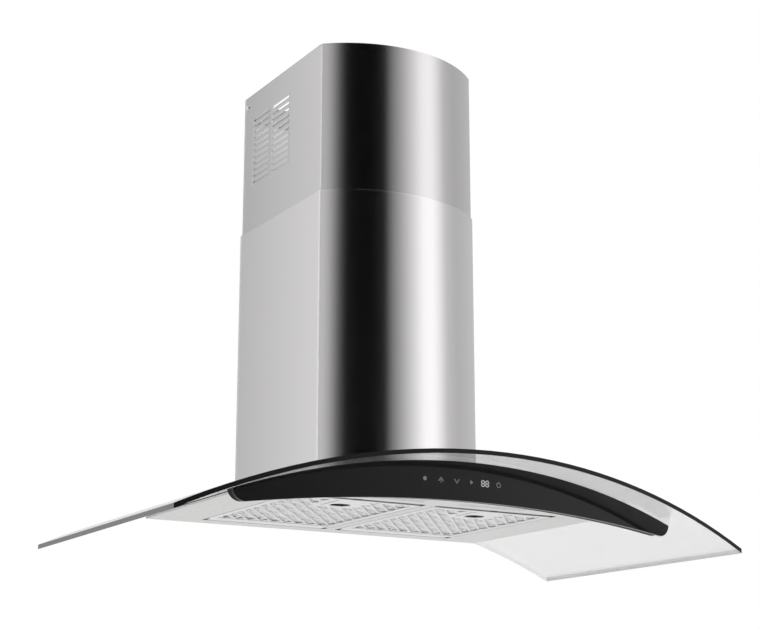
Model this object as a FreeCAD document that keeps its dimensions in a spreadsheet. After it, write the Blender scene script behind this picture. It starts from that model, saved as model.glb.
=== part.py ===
import FreeCAD, Part
import Sketcher
import math
import os

# Wall mounted chimney range hood with an arched glass canopy.
# X runs along the wall, -Y points into the kitchen and Z is up; the wall is the plane Y = 0.
# Heights are measured from the tips of the glass, then every piece is lowered by mount_height,
# so that the origin is the centre of the wall bolts.

SIZES = {
    # Setting out
    "mount_height": 225.0,
    "overrun": 6.0,
    "seat_gap": 0.05,
    "slide_gap": 0.3,
    "shaft_gap": 0.04,
    # Glass canopy: an arch across the hood, with a bowed front edge
    "glass_width": 900.0,
    "glass_depth": 520.0,
    "glass_front_radius": 3180.0625,
    "glass_rise": 98.0,
    "glass_arch_radius": 1082.1633,
    "glass_thickness": 6.0,
    "glass_back_gap": 10.0,
    "cutout_half_width": 100.0,
    "cutout_back": 40.0,
    "cutout_inset": 27.0,
    "cutout_corner": 14.0,
    # Gaskets above and below the glass
    "gasket_thickness": 1.5,
    "gasket_width": 12.0,
    "gasket_inset": 3.0,
    # Steel shell under the glass
    "shell_half_width": 292.0,
    "shell_side_tall": 2.199,
    "shell_back": 24.0,
    "shell_sheet": 0.8,
    "opening_side_gap": 1.5,
    "opening_back_gap": 3.0,
    "finger_gap": 12.0,
    "opening_corner": 3.0,
    # Black glass front panel and the housing behind it
    "panel_setback": 57.0,
    "panel_thickness": 4.0,
    "panel_half_width": 352.0,
    "panel_end_tall": 16.357,
    "panel_foot_radius": 2560.0,
    "panel_corner": 17.0,
    "panel_corner_radius": 18.0,
    "panel_top_gap": 0.6,
    "housing_depth": 16.0,
    "housing_inset": 2.0,
    "housing_wall": 2.4,
    "board_half_width": 105.0,
    "board_rise": 12.0,
    "board_tall": 28.0,
    "board_thickness": 1.6,
    "board_setback": 2.6,
    "board_post_radius": 3.0,
    "board_post_inset": 6.0,
    "display_centre": 14.5,
    "display_rise": 14.0,
    "display_width": 18.0,
    "display_tall": 11.0,
    "display_depth": 1.8,
    "panel_screw_radius": 1.6,
    "panel_screw_head": 3.2,
    "panel_screw_spread": 190.0,
    "panel_screw_rise": 21.0,
    "panel_screw_length": 6.0,
    # Linear lamps in the strip between the filters and the front panel
    "lamp_centre": 85.0,
    "lamp_gap": 20.0,
    "lamp_length": 110.0,
    "lamp_width": 14.0,
    "lamp_flange": 3.0,
    "lamp_tall": 11.0,
    "lamp_wall": 1.2,
    "lens_thickness": 2.2,
    "led_thickness": 1.4,
    # Grease filters: framed cassettes that swing down about their rear edge
    "filter_inner": 10.5,
    "filter_outer": 215.5,
    "filter_front": 342.0,
    "filter_back": 60.0,
    "filter_tall": 8.5,
    "filter_rail": 10.0,
    "filter_wall": 1.0,
    "filter_rear_rail_depth": 14.0,
    "filter_corner": 2.0,
    "net_sheet": 0.8,
    "net_strand": 2.6,
    "net_long_pitch": 20.0,
    "net_short_pitch": 12.5,
    "core_sheet": 0.6,
    "core_pitch": 13.0,
    "pin_radius": 2.0,
    "pin_setback": 6.0,
    "pin_reach": 4.5,
    "notch_width": 6.0,
    "notch_depth": 12.0,
    "hook_sheet": 2.0,
    "hook_front": 4.5,
    "hook_rise": 2.6,
    "hook_foot": 0.5,
    "rail_gap": 4.0,
    "rail_width": 11.2,
    "rail_sheet": 1.2,
    "rail_tall": 9.2,
    "rail_overhang": 3.5,
    # Filter latches: a flat slider in a guide, moved by a thumb rib
    "bolt_half_width": 7.0,
    "bolt_length": 15.5,
    "slider_half_width": 18.0,
    "slider_length": 45.0,
    "slider_thickness": 2.0,
    "latch_travel": 15.0,
    "guide_half_width": 22.0,
    "guide_roof": 1.0,
    "thumb_half_width": 9.0,
    "thumb_thickness": 4.0,
    "thumb_setback": 41.0,
    "guide_tail": 4.0,
    "thumb_hole_half_width": 15.0,
    "thumb_hole_depth": 24.0,
    "bezel_thickness": 1.1,
    "latch_clearance": 0.2,
    # Blower box on the glass
    "box_half_width": 122.0,
    "box_back": 2.0,
    "box_front": 262.0,
    "box_top": 335.0,
    "box_sheet": 0.8,
    "box_roof": 1.0,
    "box_chamfer": 11.0,
    "box_flange": 12.0,
    "flange_corner": 16.0,
    "flange_sheet": 1.2,
    "access_half_width": 100.0,
    "access_low": 135.0,
    "access_drop": 20.0,
    "cover_lap": 10.0,
    "cover_screw_radius": 1.9,
    "cover_screw_head": 3.6,
    "cover_screw_head_tall": 1.8,
    "cover_screw_length": 5.0,
    # Wall plate and the brackets that hold the lower chimney
    "plate_half_width": 105.0,
    "plate_half_height": 62.0,
    "wall_bolt_spread": 160.0,
    "wall_bolt_rise": 80.0,
    "wall_bolt_hole": 4.0,
    "bracket_low": 108.0,
    "bracket_high": 145.0,
    "bracket_reach": 130.0,
    "bracket_root": 104.0,
    "bracket_sheet": 1.1,
    "chimney_screw_radius": 2.0,
    "chimney_screw_head": 3.8,
    "chimney_screw_head_tall": 2.2,
    "chimney_screw_centre": 122.0,
    "chimney_screw_rise": 18.0,
    # Clamp screws through box flange, glass and top cover
    "clamp_back": 62.0,
    "clamp_inset": 34.0,
    "clamp_radius": 2.5,
    "clamp_head": 5.0,
    "clamp_head_tall": 3.0,
    "clamp_nut_tall": 4.0,
    "clamp_hole": 3.7,
    "bushing_radius": 4.4,
    "glass_hole": 5.0,
    # Fan scroll, in two halves
    "fan_depth": 150.0,
    "fan_height": 225.0,
    "scroll_half_width": 64.0,
    "scroll_wall": 2.0,
    "scroll_radius": 108.0,
    "scroll_step": 8.0,
    "scroll_inlet": 63.0,
    "outlet_lip": 2.0,
    "outlet_lip_out": 8.0,
    "neck_front": 23.0,
    # Fan wheel
    "wheel_radius": 75.0,
    "wheel_inner": 61.0,
    "wheel_half_width": 52.0,
    "wheel_ring": 2.5,
    "wheel_disc": 2.0,
    "blade_sheet": 1.0,
    "blade_bend": 11.0,
    "blade_count": 36.0,
    "hub_radius": 12.0,
    "hub_half_length": 9.0,
    "nut_radius": 7.0,
    "nut_tall": 5.0,
    # Motor in the left inlet
    "shaft_radius": 4.0,
    "shaft_end": 92.0,
    "motor_radius": 43.0,
    "motor_inner_end": 16.0,
    "motor_outer_end": 95.0,
    "motor_shoulder": 6.0,
    "motor_nose_radius": 14.0,
    "motor_nose": 4.0,
    "motor_ring_width": 10.0,
    "motor_ring_wall": 4.0,
    "motor_arm_width": 10.0,
    "motor_arm_thickness": 3.0,
    "motor_arm_reach": 76.0,
    # Duct collar with a pair of flaps
    "collar_depth": 92.0,
    "collar_radius": 74.5,
    "collar_wall": 2.0,
    "collar_tall": 50.0,
    "collar_flange": 82.0,
    "collar_flange_thickness": 2.5,
    "collar_screw_circle": 78.5,
    "collar_screw_radius": 1.6,
    "collar_screw_head": 2.9,
    "collar_screw_head_tall": 1.8,
    "collar_screw_length": 7.5,
    "flap_height": 17.0,
    "flap_thickness": 1.0,
    "flap_gap": 0.6,
    "flap_start": 3.5,
    "flap_ledge": 2.5,
    "flap_ledge_thickness": 1.5,
    "flap_pin_radius": 1.5,
    "knuckle_radius": 3.0,
    "knuckle_length": 14.0,
    "knuckle_centre": 40.0,
    # Chimney covers
    "chimney_half_width": 136.0,
    "chimney_depth": 264.0,
    "chimney_bow": 52.0,
    "chimney_top": 520.0,
    "chimney_sheet": 0.8,
    "chimney_return": 20.0,
    "chimney_inset": 2.0,
    "chimney_foot_gap": 0.4,
    "upper_top": 755.0,
    "upper_length": 400.0,
    "vent_rows": 11.0,
    "vent_pitch": 10.6,
    "vent_tall": 4.0,
    "vent_drop": 156.0,
    "vent_back": 36.0,
    "vent_length": 56.0,
    "vent_space": 11.0,
    "glide_thickness": 0.85,
    "glide_width": 14.0,
    "glide_tall": 40.0,
    "glide_back": 40.0,
    "glide_front": 220.0,
    "glide_top_gap": 4.0,
    # Wall bracket of the upper chimney
    "hanger_half_width": 105.0,
    "hanger_drop": 33.0,
    "hanger_tall": 30.0,
    "hanger_sheet": 1.5,
    "hanger_step": 6.0,
    "hanger_ear": 30.0,
    "hanger_bolt_spread": 160.0,
    "hanger_bolt_hole": 3.0,
    "side_screw_depth": 13.0,
    "side_screw_drop": 18.0,
    "side_screw_radius": 2.0,
    "side_screw_head": 4.2,
    "side_screw_head_tall": 2.0,
    "side_screw_length": 7.0,
    "side_slot_gap": 0.4,
    # Electronics box on the access cover
    "power_half_width": 50.0,
    "power_rise": 35.0,
    "power_tall": 100.0,
    "power_depth": 33.0,
    "power_wall": 2.0,
    "power_lid": 2.0,
    "power_post": 6.0,
    "circuit_thickness": 1.6,
    "circuit_gap": 6.0,
    "circuit_margin": 3.0,
    "relay_size": 14.0,
    "relay_spread": 24.0,
    "transformer_size": 20.0,
    "capacitor_radius": 9.0,
    "capacitor_place": 28.0,
    "lid_screw_radius": 1.4,
    "lid_screw_head": 2.6,
    "lid_screw_head_tall": 1.4,
    "gland_centre": 26.0,
    "gland_radius": 8.0,
    "gland_flange": 10.5,
    "gland_flange_tall": 3.0,
    "gland_tall": 15.0,
    "gland_bore": 4.0,
    "gland_tail": 5.0,
    # Cable from the electronics box to the touch board
    "cable_radius": 2.5,
    "cable_place": 18.0,
    "cable_setback": 23.0,
    "cable_end_rise": 9.0,
    "cable_turn_run": 26.0,
    "cable_turn_drop": 14.0,
    "cable_rise": 1.0,
    "grommet_radius": 9.0,
    "grommet_lip": 1.6,
    "grommet_waist": 7.0,
}

doc = FreeCAD.newDocument("RangeHood")
sheet = doc.addObject("Spreadsheet::Sheet", "Sizes")
for row, (alias, number) in enumerate(SIZES.items(), start=1):
    sheet.set(f"A{row}", alias)
    sheet.set(f"B{row}", str(number))
    sheet.setAlias(f"B{row}", alias)
doc.recompute()


class Size:
    """A length that keeps its formula over the sheet's cells together with its value."""

    def __init__(self, formula, number):
        self.formula = formula
        self.number = float(number)

    def __add__(self, other):
        other = as_size(other)
        return Size(f"({self.formula} + {other.formula})", self.number + other.number)

    def __sub__(self, other):
        other = as_size(other)
        return Size(f"({self.formula} - {other.formula})", self.number - other.number)

    def __mul__(self, other):
        other = as_size(other)
        return Size(f"({self.formula} * {other.formula})", self.number * other.number)

    def __truediv__(self, other):
        other = as_size(other)
        return Size(f"({self.formula} / {other.formula})", self.number / other.number)

    def __neg__(self):
        return Size(f"(0 - {self.formula})", -self.number)


def as_size(value):
    return value if isinstance(value, Size) else Size(str(value), value)


def root(size):
    return Size(f"sqrt({size.formula})", math.sqrt(size.number))


class Cells:
    """Gives each alias of the sheet as a Size."""

    def __getattr__(self, alias):
        return Size(f"Sizes.{alias}", getattr(sheet, alias))


s = Cells()
zero = Size("0", 0)


# Sketches, pads and pockets

def origin_feature(body, role):
    return next(item for item in body.Origin.OriginFeatures if item.Role == role)


def point(place):
    return FreeCAD.Vector(place[0].number, place[1].number, 0)


class Drawing:
    """Collects a sketch's constraints with their formulas and adds them in one go."""

    def __init__(self, sketch):
        self.sketch = sketch
        self.constraints = []
        self.formulas = []

    def hold(self, name, size, *arguments):
        constraint = Sketcher.Constraint(*arguments, size.number)
        constraint.Name = name
        self.constraints.append(constraint)
        self.formulas.append((f"Constraints.{name}", size.formula))

    def place(self, name, edge, end, x, y):
        self.hold(f"x{name}", x, "DistanceX", -1, 1, edge, end)
        self.hold(f"y{name}", y, "DistanceY", -1, 1, edge, end)

    def join(self, edge, end, following, start):
        self.constraints.append(Sketcher.Constraint("Coincident", edge, end, following, start))

    def close(self):
        self.sketch.addConstraint(self.constraints)
        for name, formula in self.formulas:
            self.sketch.setExpression(name, formula)


def draw_circle(drawing, loop):
    x, y, radius = loop
    circle = drawing.sketch.addGeometry(Part.Circle(point((x, y)), FreeCAD.Vector(0, 0, 1),
                                                    radius.number))
    drawing.place(circle, circle, 3, x, y)
    drawing.hold(f"r{circle}", radius, "Radius", circle)


def arc_edge(start, finish, radius, side):
    """Short arc from start to finish, with its centre on the left (side 1) or right (-1)."""
    chord = finish - start
    half = chord.Length / 2
    reach = math.sqrt(max(radius * radius - half * half, 0))
    left = FreeCAD.Vector(-chord.y, chord.x, 0).normalize()
    centre = (start + finish) * 0.5 + left * reach * side
    circle = Part.Circle(centre, FreeCAD.Vector(0, 0, 1), radius)
    first, last = (start, finish) if side > 0 else (finish, start)
    angles = [math.atan2(end.y - centre.y, end.x - centre.x) for end in (first, last)]
    return Part.ArcOfCircle(circle, angles[0], angles[1])


def draw_outline(drawing, loop):
    """Closed outline of corners (x, y); a corner (x, y, radius, side) starts an arc."""
    edges = []
    for corner, following in zip(loop, loop[1:] + loop[:1]):
        start, finish = point(corner), point(following)
        if len(corner) == 2:
            edges.append((drawing.sketch.addGeometry(Part.LineSegment(start, finish)), 1, 2))
            continue
        radius, side = corner[2], corner[3]
        arc = drawing.sketch.addGeometry(arc_edge(start, finish, radius.number, side))
        edges.append((arc, 1, 2) if side > 0 else (arc, 2, 1))
    for corner, edge, following in zip(loop, edges, edges[1:] + edges[:1]):
        number, start_end, finish_end = edge
        drawing.join(number, finish_end, following[0], following[1])
        drawing.place(number, number, start_end, corner[0], corner[1])
        if len(corner) > 2:
            drawing.hold(f"r{number}", corner[2], "Radius", number)


def draw(body, plane, offset, loops):
    """Sketch on one of the body's own planes: XY, XZ or YZ, at a place along the third axis."""
    sketch = body.newObject("Sketcher::SketchObject", body.Name + "_sketch")
    sketch.AttachmentSupport = [(origin_feature(body, plane + "_Plane"), "")]
    sketch.MapMode = "FlatFace"
    along = -offset if plane == "XZ" else offset
    sketch.setExpression("AttachmentOffset.Base.z", along.formula)
    drawing = Drawing(sketch)
    for loop in loops:
        if isinstance(loop, tuple):
            draw_circle(drawing, loop)
        else:
            draw_outline(drawing, loop)
    drawing.close()
    return sketch


def add(body, plane, low, high, *loops):
    """Pads the outlines between two places along the plane's axis."""
    sketch = draw(body, plane, high if plane == "XZ" else low, loops)
    pad = body.newObject("PartDesign::Pad", body.Name + "_pad")
    pad.Profile = sketch
    pad.setExpression("Length", (high - low).formula)
    body.Tip = pad
    return pad


def cut(body, plane, low, high, *loops):
    """Pockets the outlines between two places along the plane's axis."""
    sketch = draw(body, plane, low if plane == "XZ" else high, loops)
    pocket = body.newObject("PartDesign::Pocket", body.Name + "_pocket")
    pocket.Profile = sketch
    pocket.setExpression("Length", (high - low).formula)
    body.Tip = pocket
    return pocket


def turn(body, plane, axis, *loops):
    """Revolves the outlines about the sketch's own H_Axis or V_Axis."""
    sketch = draw(body, plane, zero, loops)
    turned = body.newObject("PartDesign::Revolution", body.Name + "_turn")
    turned.Profile = sketch
    turned.ReferenceAxis = (sketch, [axis])
    turned.Angle = 360
    body.Tip = turned
    return turned


def new_body(label):
    body = doc.addObject("PartDesign::Body", label)
    body.Label = label
    return body


# Outlines

def rectangle(left, right, low, high):
    return [(left, low), (right, low), (right, high), (left, high)]


def rounded(left, right, low, high, radius):
    return [(left + radius, low), (right - radius, low, radius, 1),
            (right, low + radius), (right, high - radius, radius, 1),
            (right - radius, high), (left + radius, high, radius, 1),
            (left, high - radius), (left, low + radius, radius, 1)]


def stadium(left, right, low, high):
    radius = (high - low) / 2
    middle = low + radius
    return [(left + radius, low), (right - radius, low, radius, 1), (right, middle, radius, 1),
            (right - radius, high), (left + radius, high, radius, 1), (left, middle, radius, 1)]


def mirrored(left, right, side):
    """The X range on the left (side -1) or right (side 1) of the hood's centre line."""
    return (left, right) if side > 0 else (-right, -left)


# Finished pieces

NODES = {}


def finish(node, piece, across=zero, back=zero, up=zero):
    """Names a finished piece and lowers it so that the wall bolts are at the origin."""
    piece.Label = node
    piece.setExpression("Placement.Base.x", across.formula)
    piece.setExpression("Placement.Base.y", back.formula)
    piece.setExpression("Placement.Base.z", (up - s.mount_height).formula)
    NODES[node] = piece
    return piece


def bar(name, axis, x, y, z, radius, length):
    """Part::Cylinder that starts at x, y, z and runs along +X, +Y or +Z."""
    rod = doc.addObject("Part::Cylinder", name)
    turns = {"X": ((0, 1, 0), 90), "Y": ((1, 0, 0), -90), "Z": ((0, 0, 1), 0)}
    direction, angle = turns[axis]
    rod.Placement = FreeCAD.Placement(FreeCAD.Vector(), FreeCAD.Rotation(FreeCAD.Vector(*direction), angle))
    rod.setExpression("Radius", radius.formula)
    rod.setExpression("Height", length.formula)
    rod.setExpression("Placement.Base.x", x.formula)
    rod.setExpression("Placement.Base.y", y.formula)
    rod.setExpression("Placement.Base.z", z.formula)
    return rod


def block(name, x0, x1, y0, y1, z0, z1):
    """Part::Box between two corners."""
    box = doc.addObject("Part::Box", name)
    for side, low, high in (("Length", x0, x1), ("Width", y0, y1), ("Height", z0, z1)):
        box.setExpression(side, (high - low).formula)
    box.setExpression("Placement.Base.x", x0.formula)
    box.setExpression("Placement.Base.y", y0.formula)
    box.setExpression("Placement.Base.z", z0.formula)
    return box


def together(name, pieces):
    group = doc.addObject("Part::MultiFuse", name)
    group.Shapes = pieces
    return group


def without(name, base, tool):
    rest = doc.addObject("Part::Cut", name)
    rest.Base = base
    rest.Tool = tool
    return rest


# The arch of the glass and the bow of its front edge

glass_half = s.glass_width / 2
arch_centre = s.glass_rise - s.glass_arch_radius
front_centre = s.glass_front_radius - s.glass_depth

glass_top = s.glass_arch_radius + s.glass_thickness / 2
glass_under = s.glass_arch_radius - s.glass_thickness / 2
low_gasket_top = glass_under - s.seat_gap
low_gasket_under = low_gasket_top - s.gasket_thickness
cover_top = low_gasket_under - s.seat_gap
cover_under = cover_top - s.shell_sheet
shell_rim = cover_under - s.seat_gap
high_gasket_under = glass_top + s.seat_gap
high_gasket_top = high_gasket_under + s.gasket_thickness
flange_under = high_gasket_top + s.seat_gap
flange_top = flange_under + s.flange_sheet

cutout_front = s.box_front - s.cutout_inset
clamp_spread = s.box_half_width + s.box_flange / 2
clamp_front = s.box_front - s.clamp_inset
access_high = s.box_top - s.access_drop
power_low = s.access_low + s.power_rise
power_high = power_low + s.power_tall
chimney_screw_height = s.bracket_low + s.chimney_screw_rise
hanger_low = s.upper_top - s.hanger_drop
side_screw_height = s.upper_top - s.side_screw_drop
vent_low = s.upper_top - s.vent_drop
cable_depth = s.box_front + s.cable_setback
opening_inner = s.filter_inner - s.opening_side_gap
opening_outer = s.filter_outer + s.opening_side_gap
opening_back = s.filter_back - s.opening_back_gap
opening_front = s.filter_front + s.finger_gap
lamp_depth = opening_front + s.lamp_gap + s.lamp_width / 2
rail_front = s.filter_back - s.rail_gap
rail_back = rail_front - s.rail_width
rail_half_length = s.filter_outer + s.rail_overhang

deepest = -(s.glass_depth + s.overrun)
highest = s.upper_top + s.overrun


def arch_height(radius, x):
    return arch_centre + root(radius * radius - x * x)


shell_floor = arch_height(shell_rim, s.shell_half_width) - s.shell_side_tall
panel_top = glass_under - s.panel_top_gap
panel_corner_x = s.panel_half_width - s.panel_corner
panel_end = arch_height(panel_top, s.panel_half_width) - s.panel_end_tall
foot_centre = panel_end - root(s.panel_foot_radius * s.panel_foot_radius
                               - panel_corner_x * panel_corner_x)
panel_foot = foot_centre + s.panel_foot_radius
panel_screw_height = panel_foot + s.panel_screw_rise
board_low = panel_foot + s.board_rise
board_high = board_low + s.board_tall
display_height = board_low + s.display_rise
cable_end_height = board_low + s.cable_end_rise
cable_turn_height = cable_end_height - s.cable_rise + s.cable_turn_drop


def front_line(setback, x):
    radius = s.glass_front_radius - setback
    return front_centre - root(radius * radius - x * x)


def arched_sheet(body, half_width, under, top, back, front):
    """Sheet bent to the arch, from Y = front (behind the deepest point) to Y = back."""
    loop = [(-half_width, arch_height(under, half_width), under, -1),
            (half_width, arch_height(under, half_width)),
            (half_width, arch_height(top, half_width), top, 1),
            (-half_width, arch_height(top, half_width))]
    add(body, "XZ", front, back, loop)


def trim_front(body, setback, half_width, low, high):
    """Cuts away what lies in front of the bowed line at this setback."""
    reach = half_width + s.overrun
    edge = front_line(setback, reach)
    loop = [(-reach, deepest - s.overrun), (reach, deepest - s.overrun),
            (reach, edge, s.glass_front_radius - setback, -1), (-reach, edge)]
    cut(body, "XY", low, high, loop)


def trim_behind(body, setback, half_width, low, high):
    """Cuts away what lies behind the bowed line at this setback."""
    reach = half_width + s.overrun
    edge = front_line(setback, reach)
    loop = [(-reach, edge, s.glass_front_radius - setback, 1), (reach, edge),
            (reach, zero), (-reach, zero)]
    cut(body, "XY", low, high, loop)


def glass_cutout(margin):
    half = s.cutout_half_width + margin
    return rounded(-half, half, -cutout_front - margin, margin - s.cutout_back,
                   s.cutout_corner + margin)


clamp_rows = [-s.clamp_back, -(s.clamp_back + clamp_front) / 2, -clamp_front]
clamp_places = [(x, y) for x in (-clamp_spread, clamp_spread) for y in clamp_rows]


def clamp_holes(radius):
    return [(x, y, radius) for x, y in clamp_places]


# Glass canopy: toughened glass with a cut-out for the air and holes for clamps and cable

glass = new_body("glass_canopy")
arched_sheet(glass, glass_half, glass_under, glass_top, -s.glass_back_gap, deepest)
trim_front(glass, zero, glass_half, arch_height(glass_under, glass_half) - s.overrun, highest)
cut(glass, "XY", zero, highest, glass_cutout(zero), *clamp_holes(s.glass_hole),
    (-s.cable_place, -cable_depth, s.grommet_waist + s.seat_gap))
finish("glass_canopy", glass)

# Gasket between the glass and the top cover: one ring round the cut-out, one round the edge

body_setback = s.panel_setback + s.panel_thickness + s.housing_depth + s.seat_gap
gasket_half = s.shell_half_width - s.gasket_inset
gasket = new_body("glass_gasket")
arched_sheet(gasket, gasket_half, low_gasket_under, low_gasket_top,
             -s.shell_back - s.gasket_inset, deepest)
trim_front(gasket, body_setback + s.gasket_inset, gasket_half, zero, highest)
ring_back = -s.shell_back - s.gasket_inset - s.gasket_width
inner_half = gasket_half - s.gasket_width
inner_setback = body_setback + s.gasket_inset + s.gasket_width
inner_edge = front_line(inner_setback, inner_half)
ring_margin = s.gasket_width + s.gasket_width + s.gasket_width
window_half = s.cutout_half_width + ring_margin
cut(gasket, "XY", zero, highest,
    [(-inner_half, inner_edge, s.glass_front_radius - inner_setback, 1), (inner_half, inner_edge),
     (inner_half, ring_back), (window_half, ring_back),
     (window_half, -cutout_front - ring_margin), (-window_half, -cutout_front - ring_margin),
     (-window_half, ring_back), (-inner_half, ring_back)])
cut(gasket, "XY", zero, highest, glass_cutout(zero), *clamp_holes(s.clamp_hole),
    (-s.cable_place, -cable_depth, s.grommet_radius + s.seat_gap))
finish("glass_gasket", gasket)

# Gasket between the glass and the flange of the blower box

flange_half = s.box_half_width + s.box_flange
flange_front = -s.box_front - s.box_flange


def flange_corners():
    """Triangles that take the front corners off the flange."""
    return [[((flange_half - s.flange_corner - s.overrun) * side, flange_front - s.overrun),
             ((flange_half + s.overrun) * side, flange_front - s.overrun),
             ((flange_half + s.overrun) * side, flange_front + s.flange_corner + s.overrun)]
            for side in (-1, 1)]


blower_gasket = new_body("blower_gasket")
arched_sheet(blower_gasket, flange_half, high_gasket_under, high_gasket_top,
             -s.glass_back_gap, flange_front)
cut(blower_gasket, "XY", zero, highest, glass_cutout(zero), *clamp_holes(s.clamp_hole),
    *flange_corners())
finish("blower_gasket", blower_gasket)

# Steel shell: a shallow tray whose rim follows the arch

def shell_outline(inset, half_width):
    setback = body_setback + inset
    edge = front_line(setback, half_width)
    return [(-half_width, edge, s.glass_front_radius - setback, 1), (half_width, edge),
            (half_width, -s.shell_back - inset), (-half_width, -s.shell_back - inset)]


shell = new_body("hood_shell")
tray_top = shell_floor + s.glass_rise
add(shell, "XY", shell_floor, tray_top, shell_outline(zero, s.shell_half_width))
cut(shell, "XY", shell_floor + s.shell_sheet, tray_top + s.overrun,
    shell_outline(s.shell_sheet, s.shell_half_width - s.shell_sheet))
rim_reach = s.shell_half_width + s.overrun
rim_edge = arch_height(shell_rim, rim_reach)
cut(shell, "XZ", deepest, zero,
    [(-rim_reach, rim_edge, shell_rim, -1), (rim_reach, rim_edge),
     (rim_reach, tray_top + s.overrun), (-rim_reach, tray_top + s.overrun)])
for side in (-1, 1):
    low_x, high_x = mirrored(opening_inner, opening_outer, side)
    cut(shell, "XY", shell_floor - s.overrun, shell_floor + s.shell_sheet + s.overrun / 4,
        rounded(low_x, high_x, -opening_front, -opening_back, s.opening_corner))
    lamp_x = s.lamp_centre * side
    cut(shell, "XY", shell_floor - s.overrun, shell_floor + s.shell_sheet + s.overrun / 4,
        rectangle(lamp_x - s.lamp_length / 2, lamp_x + s.lamp_length / 2,
                  -lamp_depth - s.lamp_width / 2, -lamp_depth + s.lamp_width / 2))
panel_screw_places = [-s.panel_screw_spread, zero, s.panel_screw_spread]
wall_reach = s.overrun / 2
cut(shell, "XZ", front_line(body_setback, zero) - wall_reach,
    front_line(body_setback, s.panel_screw_spread) + wall_reach,
    *[(x, panel_screw_height, s.panel_screw_radius + s.seat_gap) for x in panel_screw_places],
    (-s.cable_place, cable_end_height, s.cable_radius + s.slide_gap))
finish("hood_shell", shell)

# Top cover: thin steel sheet that closes the tray and carries the glass

cover = new_body("top_cover")
arched_sheet(cover, s.shell_half_width, cover_under, cover_top, -s.shell_back, deepest)
trim_front(cover, body_setback, s.shell_half_width, zero, highest)
cut(cover, "XY", zero, highest, glass_cutout(zero), *clamp_holes(s.clamp_hole),
    (-s.cable_place, -cable_depth, s.grommet_radius + s.seat_gap))
finish("top_cover", cover)


# Front panel and control housing: crescents that hang under the glass



def crescent(top_radius, inset):
    """Outline between the arch and the foot curve, rounded at its lower corners."""
    half = s.panel_half_width - inset
    foot = s.panel_foot_radius + inset
    corner_x = half - s.panel_corner
    low = foot_centre + root(foot * foot - corner_x * corner_x)
    high = arch_height(top_radius, half)
    return [(-corner_x, low, foot, -1), (corner_x, low, s.panel_corner_radius, 1),
            (half, high, top_radius, 1), (-half, high, s.panel_corner_radius, 1)]


def bowed_slab(body, outline, setback, thickness):
    low = panel_end - s.panel_corner - s.overrun
    rear = front_line(setback + thickness, s.panel_half_width) + s.overrun
    add(body, "XZ", deepest, rear, outline)
    trim_front(body, setback, s.panel_half_width, low, highest)
    trim_behind(body, setback + thickness, s.panel_half_width, low, highest)


panel = new_body("front_panel")
bowed_slab(panel, crescent(panel_top, zero), s.panel_setback, s.panel_thickness)
finish("front_panel", panel)

housing_setback = s.panel_setback + s.panel_thickness + s.seat_gap
board_face = front_line(housing_setback, zero) + s.board_setback
board_back = board_face + s.board_thickness
housing_rear = housing_setback + s.housing_depth - s.seat_gap
housing_block = new_body("housing_block")
bowed_slab(housing_block, crescent(panel_top, s.housing_inset), housing_setback,
           s.housing_depth - s.seat_gap)
housing_hollow = new_body("housing_hollow")
bowed_slab(housing_hollow, crescent(panel_top - s.housing_wall, s.housing_inset + s.housing_wall),
           housing_setback - s.overrun, s.overrun + s.housing_depth - s.seat_gap - s.housing_wall)
housing_shell = without("housing_shell", housing_block, housing_hollow)
post_places = [(x, z) for x in (s.board_post_inset - s.board_half_width, zero,
                                s.board_half_width - s.board_post_inset)
               for z in (board_low + s.board_post_inset, board_high - s.board_post_inset)]
board_posts = [bar("board_post", "Y", x, board_back + s.seat_gap, z, s.board_post_radius,
                   front_line(housing_rear, x) - s.housing_wall / 2 - board_back)
               for x, z in post_places]
housing_posts = together("housing_posts", [housing_shell] + board_posts)
housing_holes = together("housing_holes", [
    bar("screw_hole", "Y", x, front_line(housing_setback, zero) - s.overrun, panel_screw_height,
        s.panel_screw_radius + s.seat_gap, s.housing_depth + s.overrun * 4)
    for x in panel_screw_places] + [
    bar("cable_hole", "Y", -s.cable_place, board_back + s.seat_gap, cable_end_height,
        s.cable_radius + s.slide_gap, s.housing_depth + s.overrun * 2)])
finish("control_housing", without("housing_drilled", housing_posts, housing_holes))

# Screws that hold the housing to the tray, from inside the tray

panel_screws = []
for number, x in enumerate(panel_screw_places):
    far_side = x + s.panel_screw_head * (-1 if x.number < 0 else 1)
    inner_face = front_line(body_setback + s.shell_sheet, far_side)
    head = bar("panel_screw_head", "Y", x, inner_face + s.seat_gap, panel_screw_height,
               s.panel_screw_head, s.panel_screw_radius)
    shank = bar("panel_screw_shank", "Y", x, inner_face - s.panel_screw_length,
                panel_screw_height, s.panel_screw_radius, s.panel_screw_length + s.panel_screw_radius)
    panel_screws += [head, shank]
finish("panel_screws", together("panel_screw_set", panel_screws))

# Touch board with its display

board = new_body("touch_board")
add(board, "XZ", board_face, board_back,
    rounded(-s.board_half_width, s.board_half_width, board_low, board_high, s.pin_radius))
finish("touch_board", board)
display = new_body("display_module")
display_face = board_face - s.seat_gap
add(display, "XZ", display_face - s.display_depth, display_face,
    rectangle(s.display_centre - s.display_width / 2, s.display_centre + s.display_width / 2,
              display_height - s.display_tall / 2, display_height + s.display_tall / 2))
finish("display_module", display)

# Linear lamps: channel, light strip and lens

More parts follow.
